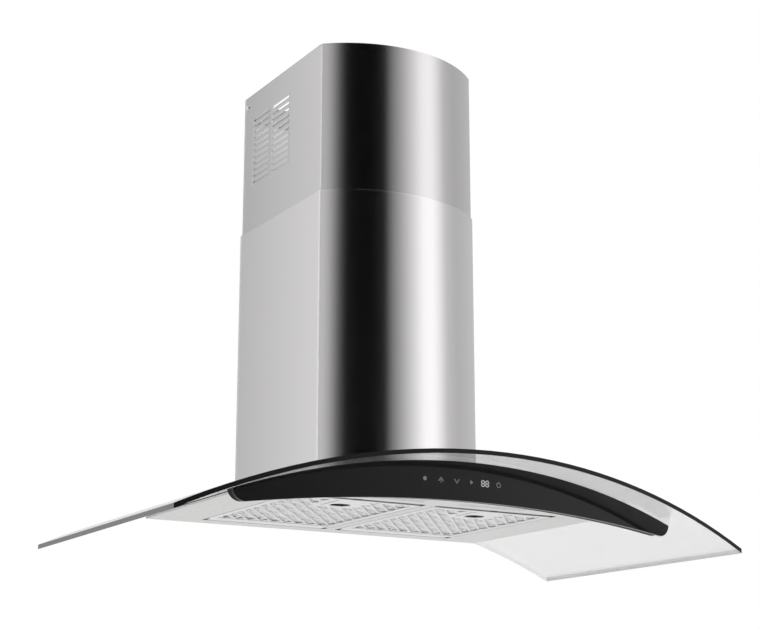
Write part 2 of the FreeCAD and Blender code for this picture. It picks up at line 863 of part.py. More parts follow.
for side, name in ((-1, "left"), (1, "right")):
    centre = s.lamp_centre * side
    low_x = centre - s.lamp_length / 2
    high_x = centre + s.lamp_length / 2
    low_y = -lamp_depth - s.lamp_width / 2
    high_y = -lamp_depth + s.lamp_width / 2
    base = shell_floor + s.shell_sheet + s.seat_gap
    channel = new_body(f"{name}_lamp_bar")
    add(channel, "XY", base, base + s.lamp_wall,
        rectangle(low_x - s.lamp_flange, high_x + s.lamp_flange,
                  low_y - s.lamp_flange, high_y + s.lamp_flange))
    add(channel, "XY", base, base + s.lamp_tall,
        rectangle(low_x - s.lamp_wall, high_x + s.lamp_wall,
                  low_y - s.lamp_wall, high_y + s.lamp_wall))
    cut(channel, "XY", base - s.overrun, base + s.lamp_tall - s.lamp_wall,
        rectangle(low_x, high_x, low_y, high_y))
    finish(f"{name}_lamp_bar", channel)
    lens = new_body(f"{name}_lamp_lens")
    add(lens, "XY", shell_floor, shell_floor + s.lens_thickness,
        rectangle(low_x + s.latch_clearance, high_x - s.latch_clearance,
                  low_y + s.latch_clearance, high_y - s.latch_clearance))
    finish(f"{name}_lamp_lens", lens)
    strip_top = base + s.lamp_tall - s.lamp_wall - s.seat_gap
    strip = new_body(f"{name}_led_strip")
    add(strip, "XY", strip_top - s.led_thickness, strip_top,
        rectangle(low_x + s.lamp_wall, high_x - s.lamp_wall, low_y + s.lamp_wall, high_y - s.lamp_wall))
    finish(f"{name}_led_strip", strip)

# Grease filters, their nets and cores, and the latches

filter_low = shell_floor
filter_high = shell_floor + s.filter_tall
pivot_y = -s.filter_back - s.pin_setback
pivot_z = shell_floor + s.filter_tall / 2 + s.seat_gap * 5
groove_low = filter_low + s.filter_wall
groove_high = filter_high - s.filter_wall
groove_back = -s.filter_back - s.filter_rear_rail_depth
window_front = -s.filter_front + s.filter_rail
window_back = groove_back - s.filter_rail
web_inside = -s.filter_front + s.filter_wall
slider_low = filter_low + s.bezel_thickness + s.latch_clearance
slider_high = slider_low + s.slider_thickness
guide_inside_high = slider_high + s.latch_clearance
guide_high = guide_inside_high + s.guide_roof
slider_front = web_inside + s.latch_travel
slider_back = slider_front + s.slider_length
guide_back = slider_back + s.latch_clearance + s.guide_tail
thumb_front = -s.filter_front + s.thumb_setback + s.latch_travel
filter_middle = (s.filter_inner + s.filter_outer) / 2


def net_face(low_x, high_x, low_y, high_y, gap_x, gap_y):
    """Thin sheet with diamond holes, whose rows are staggered, and a notch for the latch."""
    step_x = s.net_long_pitch.number
    step_y = s.net_short_pitch.number
    half_x = (step_x - s.net_strand.number) / 2
    half_y = step_y - s.net_strand.number
    border = s.net_strand.number
    plate = Part.makePolygon([FreeCAD.Vector(x, y, 0) for x, y in (
        (low_x, low_y), (gap_x[0], low_y), (gap_x[0], gap_y), (gap_x[1], gap_y), (gap_x[1], low_y),
        (high_x, low_y), (high_x, high_y), (low_x, high_y), (low_x, low_y))])
    wires = [plate]
    rows = int((high_y - low_y - border * 2) / step_y) - 1
    columns = int((high_x - low_x - border * 2) / step_x)
    start_x = (low_x + high_x) / 2 - columns * step_x / 2
    start_y = (low_y + high_y) / 2 - (rows - 1) * step_y / 2
    for row in range(rows):
        shift = step_x / 2 if row % 2 == 0 else 0
        for column in range(columns if shift else columns + 1):
            x = start_x + column * step_x + shift
            y = start_y + row * step_y
            inside = low_x + border < x - half_x and x + half_x < high_x - border
            clear = (x + half_x < gap_x[0] - border or x - half_x > gap_x[1] + border
                     or y - half_y > gap_y + border)
            if inside and clear:
                corners = ((x - half_x, y), (x, y - half_y), (x + half_x, y), (x, y + half_y))
                wires.append(Part.makePolygon([FreeCAD.Vector(*corner, 0)
                                               for corner in corners + corners[:1]]))
    return Part.makeFace(wires, "Part::FaceMakerBullseye"), len(wires) - 1


def zigzag(low_x, high_x, floor, roof, pitch, sheet_thickness):
    """Cross section of a folded sheet that fills the space between floor and roof."""
    folds = 2 * max(int((high_x - low_x) / pitch), 1)
    step = (high_x - low_x) / folds
    levels = [floor if fold % 2 == 0 else roof - sheet_thickness for fold in range(folds + 1)]
    under = [FreeCAD.Vector(low_x + fold * step, 0, level) for fold, level in enumerate(levels)]
    over = [place + FreeCAD.Vector(0, 0, sheet_thickness) for place in reversed(under)]
    return Part.Face(Part.makePolygon(under + over + under[:1]))


for side, name in ((-1, "left"), (1, "right")):
    low_x, high_x = mirrored(s.filter_inner, s.filter_outer, side)
    middle = filter_middle * side
    frame = new_body(f"{name}_filter_frame")
    add(frame, "XY", filter_low, filter_high,
        rounded(low_x, high_x, -s.filter_front, -s.filter_back, s.filter_corner))
    cut(frame, "XY", filter_low - s.overrun, filter_high + s.overrun,
        rectangle(low_x + s.filter_rail, high_x - s.filter_rail, window_front, window_back))
    cut(frame, "XY", groove_low, groove_high,
        rectangle(low_x + s.filter_wall, high_x - s.filter_wall, web_inside, groove_back))
    add(frame, "XY", filter_low, guide_high,
        rectangle(middle - s.guide_half_width, middle + s.guide_half_width,
                  -s.filter_front, guide_back))
    cavity_half = s.slider_half_width + s.latch_clearance
    bolt_half = s.bolt_half_width + s.latch_clearance
    cut(frame, "XY", slider_low - s.latch_clearance, guide_inside_high,
        [(middle - cavity_half, web_inside), (middle - bolt_half, web_inside),
         (middle - bolt_half, -s.filter_front - s.overrun),
         (middle + bolt_half, -s.filter_front - s.overrun), (middle + bolt_half, web_inside),
         (middle + cavity_half, web_inside), (middle + cavity_half, slider_back + s.latch_clearance),
         (middle - cavity_half, slider_back + s.latch_clearance)])
    hole_front = thumb_front - s.latch_travel - (s.thumb_hole_depth - s.latch_travel
                                                 - s.thumb_thickness) / 2
    cut(frame, "XY", filter_low - s.overrun, slider_low,
        stadium(middle - s.thumb_hole_half_width, middle + s.thumb_hole_half_width,
                hole_front, hole_front + s.thumb_hole_depth))
    for edge, inward in ((low_x, 1), (high_x, -1)):
        notch = sorted((edge - s.overrun * inward, edge + s.notch_width * inward),
                       key=lambda size: size.number)
        cut(frame, "XY", filter_low - s.overrun, filter_high + s.overrun,
            rectangle(notch[0], notch[1], -s.filter_back - s.notch_depth,
                      -s.filter_back + s.overrun))
        pin = sorted((edge + (s.notch_width - s.pin_reach) * inward,
                      edge + (s.notch_width + s.filter_wall) * inward),
                     key=lambda size: size.number)
        add(frame, "YZ", pin[0], pin[1], (pivot_y, pivot_z, s.pin_radius))
    finish(f"{name}_filter_frame", frame)

    net_x = (low_x + s.filter_wall + s.latch_clearance, high_x - s.filter_wall - s.latch_clearance)
    net_y = (web_inside + s.latch_clearance, groove_back - s.latch_clearance)
    latch_gap = (middle - s.guide_half_width - s.slide_gap, middle + s.guide_half_width + s.slide_gap)
    latch_end = guide_back + s.slide_gap
    net_floor = groove_low + s.seat_gap
    face, holes = net_face(net_x[0].number, net_x[1].number, net_y[0].number, net_y[1].number,
                           (latch_gap[0].number, latch_gap[1].number), latch_end.number)
    print(f"{name} net has {holes} gaps")
    net = doc.addObject("Part::Feature", f"{name}_net")
    net.Shape = face.extrude(FreeCAD.Vector(0, 0, s.net_sheet.number))
    finish(f"{name}_filter_mesh", net, zero, zero, net_floor)

    core_floor = s.net_sheet + s.seat_gap
    core_roof = groove_high - net_floor - s.seat_gap
    core = doc.addObject("Part::Feature", f"{name}_core")
    folded = zigzag(net_x[0].number, net_x[1].number, core_floor.number, core_roof.number,
                    s.core_pitch.number, s.core_sheet.number)
    length = (net_y[1] - net_y[0]).number
    folded.translate(FreeCAD.Vector(0, net_y[0].number, 0))
    bellows = folded.extrude(FreeCAD.Vector(0, length, 0))
    gap_box = Part.makeBox((latch_gap[1] - latch_gap[0]).number,
                           (latch_end - net_y[0] + s.overrun).number, s.glass_rise.number)
    gap_box.translate(FreeCAD.Vector(latch_gap[0].number, (net_y[0] - s.overrun).number, 0))
    core.Shape = bellows.cut(gap_box)
    finish(f"{name}_filter_core", core, zero, zero, net_floor)

    slider = new_body(f"{name}_filter_latch")
    add(slider, "XY", slider_low, slider_high,
        [(middle - s.slider_half_width, slider_front), (middle - s.bolt_half_width, slider_front),
         (middle - s.bolt_half_width, slider_front - s.bolt_length),
         (middle + s.bolt_half_width, slider_front - s.bolt_length),
         (middle + s.bolt_half_width, slider_front), (middle + s.slider_half_width, slider_front),
         (middle + s.slider_half_width, slider_back), (middle - s.slider_half_width, slider_back)])
    add(slider, "XY", filter_low + s.latch_clearance, slider_high,
        rectangle(middle - s.thumb_half_width, middle + s.thumb_half_width,
                  thumb_front, thumb_front + s.thumb_thickness))
    finish(f"{name}_filter_latch", slider)

# Rail behind the filters, with a hook for each pin

rail_floor = shell_floor + s.shell_sheet + s.seat_gap
rail = new_body("filter_rear_rail")
add(rail, "XY", rail_floor, rail_floor + s.rail_sheet,
    rectangle(-rail_half_length, rail_half_length, -rail_front, -rail_back))
add(rail, "XY", rail_floor, rail_floor + s.rail_tall,
    rectangle(-rail_half_length, rail_half_length, -rail_back - s.rail_sheet, -rail_back))
hook_radius = s.pin_radius + s.shaft_gap
hook_top = pivot_z + s.hook_rise
hook_bottom = shell_floor + s.shell_sheet + s.hook_foot
for edge, inward in ((-s.filter_outer, 1), (-s.filter_inner, -1),
                     (s.filter_inner, 1), (s.filter_outer, -1)):
    hook_middle = edge + (s.notch_width - s.pin_reach / 2 - s.filter_wall / 2) * inward
    add(rail, "YZ", hook_middle - s.hook_sheet / 2, hook_middle + s.hook_sheet / 2,
        [(pivot_y - s.hook_front, hook_bottom), (-rail_back, hook_bottom),
         (-rail_back, hook_top), (pivot_y + hook_radius, hook_top),
         (pivot_y + hook_radius, pivot_z, hook_radius, -1),
         (pivot_y, pivot_z - hook_radius, hook_radius, -1),
         (pivot_y - hook_radius, pivot_z), (pivot_y - hook_radius, hook_top),
         (pivot_y - s.hook_front, hook_top)])
finish("filter_rear_rail", rail)

# Blower box: sheet steel, open at the foot, with chamfered rear corners

def box_outline(inset):
    half = s.box_half_width - inset
    back = -s.box_back - inset
    chamfer = s.box_chamfer
    return [(-half, -s.box_front + inset), (half, -s.box_front + inset), (half, back - chamfer),
            (half - chamfer, back), (chamfer - half, back), (-half, back - chamfer)]


box = new_body("blower_box")
arched_sheet(box, flange_half, flange_under, flange_top, -s.glass_back_gap, flange_front)
add(box, "XY", arch_height(flange_under, s.box_half_width) - s.overrun, s.box_top, box_outline(zero))
under_edge = arch_height(flange_under, flange_half + s.overrun)
cut(box, "XZ", deepest, s.overrun,
    [(-flange_half - s.overrun, under_edge - s.overrun - s.overrun - s.overrun),
     (flange_half + s.overrun, under_edge - s.overrun - s.overrun - s.overrun),
     (flange_half + s.overrun, under_edge, flange_under, 1),
     (-flange_half - s.overrun, under_edge)])
cut(box, "XY", zero, s.box_top - s.box_roof, box_outline(s.box_sheet))
cut(box, "XY", s.box_top - s.box_roof - s.overrun, s.box_top + s.overrun,
    (zero, -s.collar_depth, s.collar_radius - s.collar_wall))
cut(box, "XZ", -s.box_front - s.overrun / 2, -s.box_front + s.overrun / 2,
    rectangle(-s.access_half_width, s.access_half_width, s.access_low, access_high))
wall_bolts = [(x, z, s.wall_bolt_hole) for x in (-s.wall_bolt_spread / 2, s.wall_bolt_spread / 2)
              for z in (s.mount_height - s.wall_bolt_rise / 2, s.mount_height + s.wall_bolt_rise / 2)]
cut(box, "XZ", -s.box_back - s.overrun, -s.box_back + s.overrun / 4, *wall_bolts)
cut(box, "XY", zero, arch_height(flange_top, zero) + s.overrun, *clamp_holes(s.clamp_hole),
    *flange_corners())
collar_screws_share = math.sqrt(0.5)
collar_reach = s.collar_screw_circle * collar_screws_share
collar_places = [(x, -s.collar_depth + y) for x in (-collar_reach, collar_reach)
                 for y in (-collar_reach, collar_reach)]
collar_hole = s.collar_screw_radius + s.seat_gap
cut(box, "XY", s.box_top - s.box_roof - s.overrun, s.box_top + s.overrun,
    *[(x, y, collar_hole) for x, y in collar_places])
cover_half = s.access_half_width + s.cover_lap
cover_low = s.access_low - s.cover_lap
cover_high = access_high + s.cover_lap
cover_edge = s.cover_lap / 2
cover_places = [(x, z) for x in (cover_edge - cover_half, cover_half - cover_edge)
                for z in (cover_low + cover_edge, (cover_low + cover_high) / 2,
                          cover_high - cover_edge)]
cover_hole = s.cover_screw_radius + s.seat_gap
cut(box, "XZ", -s.box_front - s.overrun / 2, -s.box_front + s.overrun / 2,
    *[(x, z, cover_hole) for x, z in cover_places])
finish("blower_box", box)

# Access cover of the blower box, with its screws

cover_back = -s.box_front - s.seat_gap
cover_front = cover_back - s.box_sheet
access = new_body("blower_cover")
add(access, "XZ", cover_front, cover_back, rectangle(-cover_half, cover_half, cover_low, cover_high))
cut(access, "XZ", cover_front - s.overrun, cover_back + s.overrun,
    *[(x, z, cover_hole) for x, z in cover_places])
finish("blower_cover", access)
cover_screws = []
for x, z in cover_places:
    head_face = cover_front - s.seat_gap
    cover_screws.append(bar("cover_screw_head", "Y", x, head_face - s.cover_screw_head_tall, z,
                            s.cover_screw_head, s.cover_screw_head_tall))
    cover_screws.append(bar("cover_screw_shank", "Y", x, head_face - s.cover_screw_head_tall, z,
                            s.cover_screw_radius, s.cover_screw_head_tall + s.cover_screw_length))
finish("cover_screws", together("cover_screw_set", cover_screws))

# Wall plate and chimney brackets behind the blower box

plate = new_body("wall_plate")
add(plate, "XZ", -s.box_back, zero,
    rectangle(-s.plate_half_width, s.plate_half_width,
              s.mount_height - s.plate_half_height, s.mount_height + s.plate_half_height))
cut(plate, "XZ", -s.box_back - s.overrun, s.overrun, *wall_bolts)
finish("wall_plate", plate)
bracket_back = -s.box_back + s.bracket_sheet
side_brackets = []
for side in (-1, 1):
    low_x, high_x = mirrored(s.bracket_root, s.bracket_reach, side)
    side_brackets.append(block("bracket_plate", low_x, high_x, -s.box_back, bracket_back,
                               s.bracket_low, s.bracket_high))
bracket_drill = together("bracket_drill", [
    bar("bracket_hole", "Y", s.chimney_screw_centre * side, -s.box_back - s.overrun,
        chimney_screw_height, s.chimney_screw_radius + s.seat_gap, s.overrun * 2)
    for side in (-1, 1)])
finish("chimney_brackets", without("brackets_drilled", together("brackets", side_brackets),
                                   bracket_drill))
chimney_screws = []
for side in (-1, 1):
    screw_x = s.chimney_screw_centre * side
    head_start = -s.box_back - s.seat_gap - s.chimney_screw_head_tall
    chimney_screws.append(bar("chimney_screw_head", "Y", screw_x, head_start, chimney_screw_height,
                              s.chimney_screw_head, s.chimney_screw_head_tall))
    chimney_screws.append(bar("chimney_screw_shank", "Y", screw_x, head_start,
                              chimney_screw_height, s.chimney_screw_radius,
                              -head_start - s.seat_gap))
finish("chimney_screws", together("chimney_screw_set", chimney_screws))

# Clamp screws, nuts and bushings, square to the arch

def radial_bar(name, x, y, start, radius, length):
    """Cylinder that starts on the arch of this radius and points away from its centre."""
    lean = x / s.glass_arch_radius
    upright = root(Size("1", 1) - lean * lean)
    rod = doc.addObject("Part::Cylinder", name)
    rod.Placement = FreeCAD.Placement(FreeCAD.Vector(), FreeCAD.Rotation(FreeCAD.Vector(0, 1, 0), 1))
    rod.setExpression("Radius", radius.formula)
    rod.setExpression("Height", length.formula)
    rod.setExpression("Placement.Rotation.Angle", f"asin({lean.formula})")
    rod.setExpression("Placement.Base.x", (lean * start).formula)
    rod.setExpression("Placement.Base.y", y.formula)
    rod.setExpression("Placement.Base.z", (arch_centre + upright * start).formula)
    return rod


clamp_screws = []
clamp_nuts = []
bushings = []
bores = []
nut_top = cover_under - s.slide_gap
shank_start = nut_top - s.clamp_nut_tall - s.clamp_radius
for x, y in clamp_places:
    head_start = flange_top + s.slide_gap
    clamp_screws.append(radial_bar("clamp_head", x, y, head_start, s.clamp_head, s.clamp_head_tall))
    clamp_screws.append(radial_bar("clamp_shank", x, y, shank_start, s.clamp_radius,
                                   head_start - shank_start + s.clamp_head_tall / 2))
    clamp_nuts.append(radial_bar("clamp_nut", x, y, nut_top - s.clamp_nut_tall, s.clamp_head,
                                 s.clamp_nut_tall))
    bushings.append(radial_bar("bushing", x, y, glass_under + s.seat_gap, s.bushing_radius,
                               s.glass_thickness - s.seat_gap * 2))
    bores.append(radial_bar("bore", x, y, shank_start - s.overrun, s.clamp_radius + s.seat_gap,
                            s.glass_thickness * 6))
finish("clamp_screws", together("clamp_screw_set", clamp_screws))
finish("clamp_nuts", without("nuts_bored", together("nut_set", clamp_nuts),
                             together("nut_bores", bores)))
finish("glass_bushings", without("bushings_bored", together("bushing_set", bushings),
                                 together("bushing_bores", bores)))

# Fan scroll: two moulded halves that meet on the centre plane

fan_y = -s.fan_depth
fan_z = s.fan_height
neck_top = s.box_top - s.box_roof - s.seat_gap
neck_front = fan_y + s.neck_front


def scroll_outline(inset, top):
    """Volute whose radius falls by one step in each quarter turn, with a straight outlet."""
    largest = s.scroll_radius - inset
    step = s.scroll_step
    small = largest - step - step
    return [(neck_front + inset, top), (neck_front + inset, fan_z + small - step),
            (fan_y - step / 2, fan_z + small - step / 2, small, 1),
            (fan_y - small - step / 2, fan_z - step / 2, small + step, 1),
            (fan_y + step / 2, fan_z - step / 2 - small - step, largest, 1),
            (fan_y + largest + step / 2, fan_z + step / 2),
            (fan_y + largest + step / 2, top)]


lip_low = neck_top - s.outlet_lip
neck_back = fan_y + s.scroll_radius + s.scroll_step / 2
for side, name in ((-1, "left"), (1, "right")):
    half = new_body(f"{name}_scroll_half")
    seam = s.seat_gap / 2
    low_x, high_x = mirrored(seam, s.scroll_half_width, side)
    add(half, "YZ", low_x, high_x, scroll_outline(zero, neck_top))
    hollow_low, hollow_high = mirrored(seam - s.overrun, s.scroll_half_width - s.scroll_wall, side)
    cut(half, "YZ", hollow_low, hollow_high, scroll_outline(s.scroll_wall, neck_top + s.overrun))
    inlet_low, inlet_high = mirrored(s.scroll_half_width - s.scroll_wall - s.overrun,
                                     s.scroll_half_width + s.overrun, side)
    cut(half, "YZ", inlet_low, inlet_high, (fan_y, fan_z, s.scroll_inlet))
    lip_x = mirrored(seam, s.scroll_half_width + s.outlet_lip_out, side)
    inner_x = mirrored(seam - s.overrun, s.scroll_half_width - s.scroll_wall, side)
    add(half, "XY", lip_low, neck_top,
        rectangle(lip_x[0], lip_x[1], neck_front - s.outlet_lip_out * 3,
                  neck_back + s.outlet_lip_out))
    cut(half, "XY", lip_low - s.overrun, neck_top + s.overrun,
        rectangle(inner_x[0], inner_x[1], neck_front + s.scroll_wall, neck_back - s.scroll_wall))
    cut(half, "XY", lip_low - s.overrun, neck_top + s.overrun,
        *[(x, y, collar_hole) for x, y in collar_places if x.number * side > 0])
    finish(f"{name}_scroll_half", half)

# Fan wheel with forward curved blades, on the motor's shaft

wheel = new_body("impeller")
add(wheel, "YZ", -s.wheel_disc / 2, s.wheel_disc / 2, (zero, zero, s.wheel_radius))
add(wheel, "YZ", -s.hub_half_length, s.hub_half_length, (zero, zero, s.hub_radius))
for side in (-1, 1):
    low_x, high_x = mirrored(s.wheel_half_width - s.wheel_ring, s.wheel_half_width, side)
    add(wheel, "YZ", low_x, high_x, (zero, zero, s.wheel_radius), (zero, zero, s.wheel_inner))
blade_root = s.wheel_inner + s.blade_sheet
blade = add(wheel, "YZ", s.wheel_ring / 2 - s.wheel_half_width, s.wheel_half_width - s.wheel_ring / 2,
            [(blade_root, zero, s.blade_bend, 1), (blade_root + s.blade_bend, s.blade_bend),
             (blade_root + s.blade_bend - s.blade_sheet, s.blade_bend,
              s.blade_bend - s.blade_sheet, -1), (blade_root, s.blade_sheet)])
blades = wheel.newObject("PartDesign::PolarPattern", "blades")
blades.Originals = [blade]
blades.Axis = (origin_feature(wheel, "X_Axis"), [""])
blades.Angle = 360
blades.setExpression("Occurrences", s.blade_count.formula)
wheel.Tip = blades
cut(wheel, "YZ", -s.hub_half_length - s.overrun, s.hub_half_length + s.overrun,
    (zero, zero, s.shaft_radius + s.seat_gap / 5))
finish("impeller", wheel, zero, fan_y, fan_z)

shaft = new_body("motor_shaft")
shaft_tip = s.hub_half_length + s.nut_tall + s.blade_sheet
add(shaft, "YZ", -s.shaft_end, shaft_tip, (zero, zero, s.shaft_radius))
finish("motor_shaft", shaft, zero, fan_y, fan_z)

nut = new_body("impeller_nut")
nut_side_share = math.sqrt(0.75)
nut_start = s.hub_half_length + s.seat_gap
add(nut, "YZ", nut_start, nut_start + s.nut_tall,
    [(s.nut_radius, zero), (s.nut_radius / 2, s.nut_radius * nut_side_share),
     (-s.nut_radius / 2, s.nut_radius * nut_side_share), (-s.nut_radius, zero),
     (-s.nut_radius / 2, -s.nut_radius * nut_side_share),
     (s.nut_radius / 2, -s.nut_radius * nut_side_share)])
cut(nut, "YZ", zero, nut_start + s.nut_tall + s.overrun, (zero, zero, s.shaft_radius + s.seat_gap / 5))
finish("impeller_nut", nut, zero, fan_y, fan_z)

# Motor: a turned can with a nose, carried by a ring with three arms

motor = new_body("motor")
can = s.motor_radius
turn(motor, "XZ", "H_Axis",
     [(-s.motor_inner_end, s.shaft_radius + s.shaft_gap), (-s.motor_inner_end, s.motor_nose_radius),
      (-s.motor_inner_end - s.motor_nose, s.motor_nose_radius),
      (-s.motor_inner_end - s.motor_nose, can - s.motor_shoulder, s.motor_shoulder, 1),
      (-s.motor_inner_end - s.motor_nose - s.motor_shoulder, can),
      (s.motor_shoulder - s.motor_outer_end, can, s.motor_shoulder, 1),
      (-s.motor_outer_end, can - s.motor_shoulder), (-s.motor_outer_end, zero),
      (-s.shaft_end - s.slide_gap, zero), (-s.shaft_end - s.slide_gap, s.shaft_radius + s.shaft_gap)])
finish("motor", motor, zero, fan_y, fan_z)

cradle = new_body("motor_bracket")
ring_outer = -s.scroll_half_width - s.seat_gap
ring_inner = can + s.seat_gap
add(cradle, "YZ", ring_outer - s.motor_ring_width, ring_outer,
    (zero, zero, ring_inner + s.motor_ring_wall), (zero, zero, ring_inner))
arm = add(cradle, "YZ", ring_outer - s.motor_arm_thickness, ring_outer,
          rectangle(-s.motor_arm_width / 2, s.motor_arm_width / 2,
                    ring_inner + s.motor_ring_wall / 2, s.motor_arm_reach))
arms = cradle.newObject("PartDesign::PolarPattern", "arms")
arms.Originals = [arm]
arms.Axis = (origin_feature(cradle, "X_Axis"), [""])
arms.Angle = 360
arms.Occurrences = 3
cradle.Tip = arms
finish("motor_bracket", cradle, zero, fan_y, fan_z)

# Duct collar on the roof of the box

collar = new_body("duct_collar")
collar_inner = s.collar_radius - s.collar_wall
collar_floor = s.box_top + s.seat_gap
flap_axis = collar_floor + s.flap_height
ledge_top = flap_axis - s.flap_thickness / 2 - s.slide_gap
add(collar, "XY", collar_floor, collar_floor + s.collar_flange_thickness,
    (zero, -s.collar_depth, s.collar_flange), (zero, -s.collar_depth, collar_inner))
add(collar, "XY", collar_floor, collar_floor + s.collar_tall,
    (zero, -s.collar_depth, s.collar_radius), (zero, -s.collar_depth, collar_inner))
ledge_gap = s.knuckle_radius + s.flap_gap
add(collar, "XY", ledge_top - s.flap_ledge_thickness, ledge_top,
    (zero, -s.collar_depth, s.collar_radius - s.collar_wall / 2),
    (zero, -s.collar_depth, collar_inner - s.flap_ledge))
cut(collar, "XY", ledge_top - s.flap_ledge_thickness - s.overrun / 2, ledge_top + s.overrun / 6,
    rectangle(-collar_inner, collar_inner, -s.collar_depth - ledge_gap, -s.collar_depth + ledge_gap))
cut(collar, "YZ", -s.collar_radius - s.overrun, s.collar_radius + s.overrun,
    (-s.collar_depth, flap_axis, s.flap_pin_radius + s.seat_gap / 5))
cut(collar, "XY", collar_floor - s.overrun, collar_floor + s.collar_flange_thickness + s.overrun,
    *[(x, y, collar_hole) for x, y in collar_places])
finish("duct_collar", collar)

pin_half = s.collar_radius - s.collar_wall / 4
finish("damper_pin", together("damper_pin_rod", [
    bar("pin_left", "X", -pin_half, -s.collar_depth, flap_axis, s.flap_pin_radius, pin_half),
    bar("pin_right", "X", zero, -s.collar_depth, flap_axis, s.flap_pin_radius, pin_half)]))

collar_screws = []
screw_seat = collar_floor + s.collar_flange_thickness + s.seat_gap
for x, y in collar_places:
    collar_screws.append(bar("collar_screw_head", "Z", x, y, screw_seat, s.collar_screw_head,
                             s.collar_screw_head_tall))
    collar_screws.append(bar("collar_screw_shank", "Z", x, y, screw_seat - s.collar_screw_length,
                             s.collar_screw_radius, s.collar_screw_length + s.collar_screw_head_tall))
finish("collar_screws", together("collar_screw_set", collar_screws))

# Damper flaps: half discs with knuckles round the pin

flap_radius = collar_inner - s.flap_gap
for side, name, knuckles in ((-1, "front", (-1, 1)), (1, "rear", (0,))):
    flap = new_body(f"{name}_damper_flap")
    chord_half = root(flap_radius * flap_radius - s.flap_start * s.flap_start)
    straight = s.flap_start * side
    add(flap, "XY", -s.flap_thickness / 2, s.flap_thickness / 2,
        [(-chord_half, straight), (chord_half, straight, flap_radius, side),
         (zero, flap_radius * side, flap_radius, side)])
    for place in knuckles:
        middle = s.knuckle_centre * place
        low_x = middle - s.knuckle_length / 2
        high_x = middle + s.knuckle_length / 2
        reach = sorted((zero, s.flap_start * side * 2), key=lambda size: size.number)
        add(flap, "XY", -s.flap_thickness / 2, s.flap_thickness / 2,
            rectangle(low_x, high_x, reach[0], reach[1]))
        add(flap, "YZ", low_x, high_x, (zero, zero, s.knuckle_radius))
        cut(flap, "YZ", low_x - s.overrun, high_x + s.overrun,
            (zero, zero, s.flap_pin_radius + s.shaft_gap))
    finish(f"{name}_damper_flap", flap, zero, -s.collar_depth, flap_axis)

# Chimney covers: bent sheet with a bowed front and short returns along the wall

chimney_radius = (s.chimney_half_width * s.chimney_half_width
                  + s.chimney_bow * s.chimney_bow) / (s.chimney_bow * 2)
chimney_centre = chimney_radius - s.chimney_depth - s.chimney_bow


def chimney_line(inset):
    """Y where a side, moved in by inset, meets the bowed front."""
    half = s.chimney_half_width - inset
    radius = chimney_radius - inset
    return chimney_centre - root(radius * radius - half * half)


def chimney_outline(inset):
    half = s.chimney_half_width - inset
    inside = inset + s.chimney_sheet
    inner = s.chimney_half_width - inside
    lip = half - s.chimney_return
    return [(-lip, -inset), (-half, -inset), (-half, chimney_line(inset), chimney_radius - inset, 1),
            (half, chimney_line(inset)), (half, -inset), (lip, -inset), (lip, -inside),
            (inner, -inside), (inner, chimney_line(inside), chimney_radius - inside, -1),
            (-inner, chimney_line(inside)), (-inner, -inside), (-lip, -inside)]


lower = new_body("lower_chimney")
foot_radius = glass_top + s.chimney_foot_gap
foot_reach = s.chimney_half_width + s.overrun
foot_edge = arch_height(foot_radius, foot_reach)
add(lower, "XY", foot_edge - s.overrun, s.chimney_top, chimney_outline(zero))
cut(lower, "XZ", deepest, s.overrun,
    [(-foot_reach, foot_edge - s.overrun * 2), (foot_reach, foot_edge - s.overrun * 2),
     (foot_reach, foot_edge, foot_radius, 1), (-foot_reach, foot_edge)])
cut(lower, "XZ", -s.chimney_sheet - s.overrun / 6, s.overrun,
    *[(s.chimney_screw_centre * side, chimney_screw_height, s.chimney_screw_radius + s.seat_gap)
      for side in (-1, 1)])
finish("lower_chimney", lower)

upper = new_body("upper_chimney")
add(upper, "XY", s.upper_top - s.upper_length, s.upper_top, chimney_outline(s.chimney_inset))
upper_half = s.chimney_half_width - s.chimney_inset
first_vent = -s.vent_back - s.vent_length
second_vent = first_vent - s.vent_space - s.vent_length
vent_top = vent_low + s.vent_tall
vent_row = cut(upper, "YZ", -upper_half - s.overrun, upper_half + s.overrun,
               stadium(first_vent, first_vent + s.vent_length, vent_low, vent_top),
               stadium(second_vent, second_vent + s.vent_length, vent_low, vent_top))
vents = upper.newObject("PartDesign::LinearPattern", "vents")
vents.Originals = [vent_row]
vents.Direction = (origin_feature(upper, "Z_Axis"), [""])
vents.setExpression("Length", (s.vent_pitch * (s.vent_rows - 1)).formula)
vents.setExpression("Occurrences", s.vent_rows.formula)
upper.Tip = vents
cut(upper, "YZ", -upper_half - s.overrun, upper_half + s.overrun,
    (-s.side_screw_depth, side_screw_height, s.side_screw_radius + s.seat_gap))
finish("upper_chimney", upper)

# Plastic glides between the covers

glide_outer = s.chimney_half_width - s.chimney_sheet
glide_top = s.chimney_top - s.glide_top_gap
glides = []
for side in (-1, 1):
    low_x, high_x = mirrored(glide_outer - s.glide_thickness, glide_outer, side)
    for depth in (s.glide_back, s.glide_front):
        glides.append(block("glide", low_x, high_x, -depth - s.glide_width / 2,
                            -depth + s.glide_width / 2, glide_top - s.glide_tall, glide_top))
finish("chimney_glides", together("glides", glides))

# Wall bracket of the upper chimney: a bent strip whose ears stand inside the cover

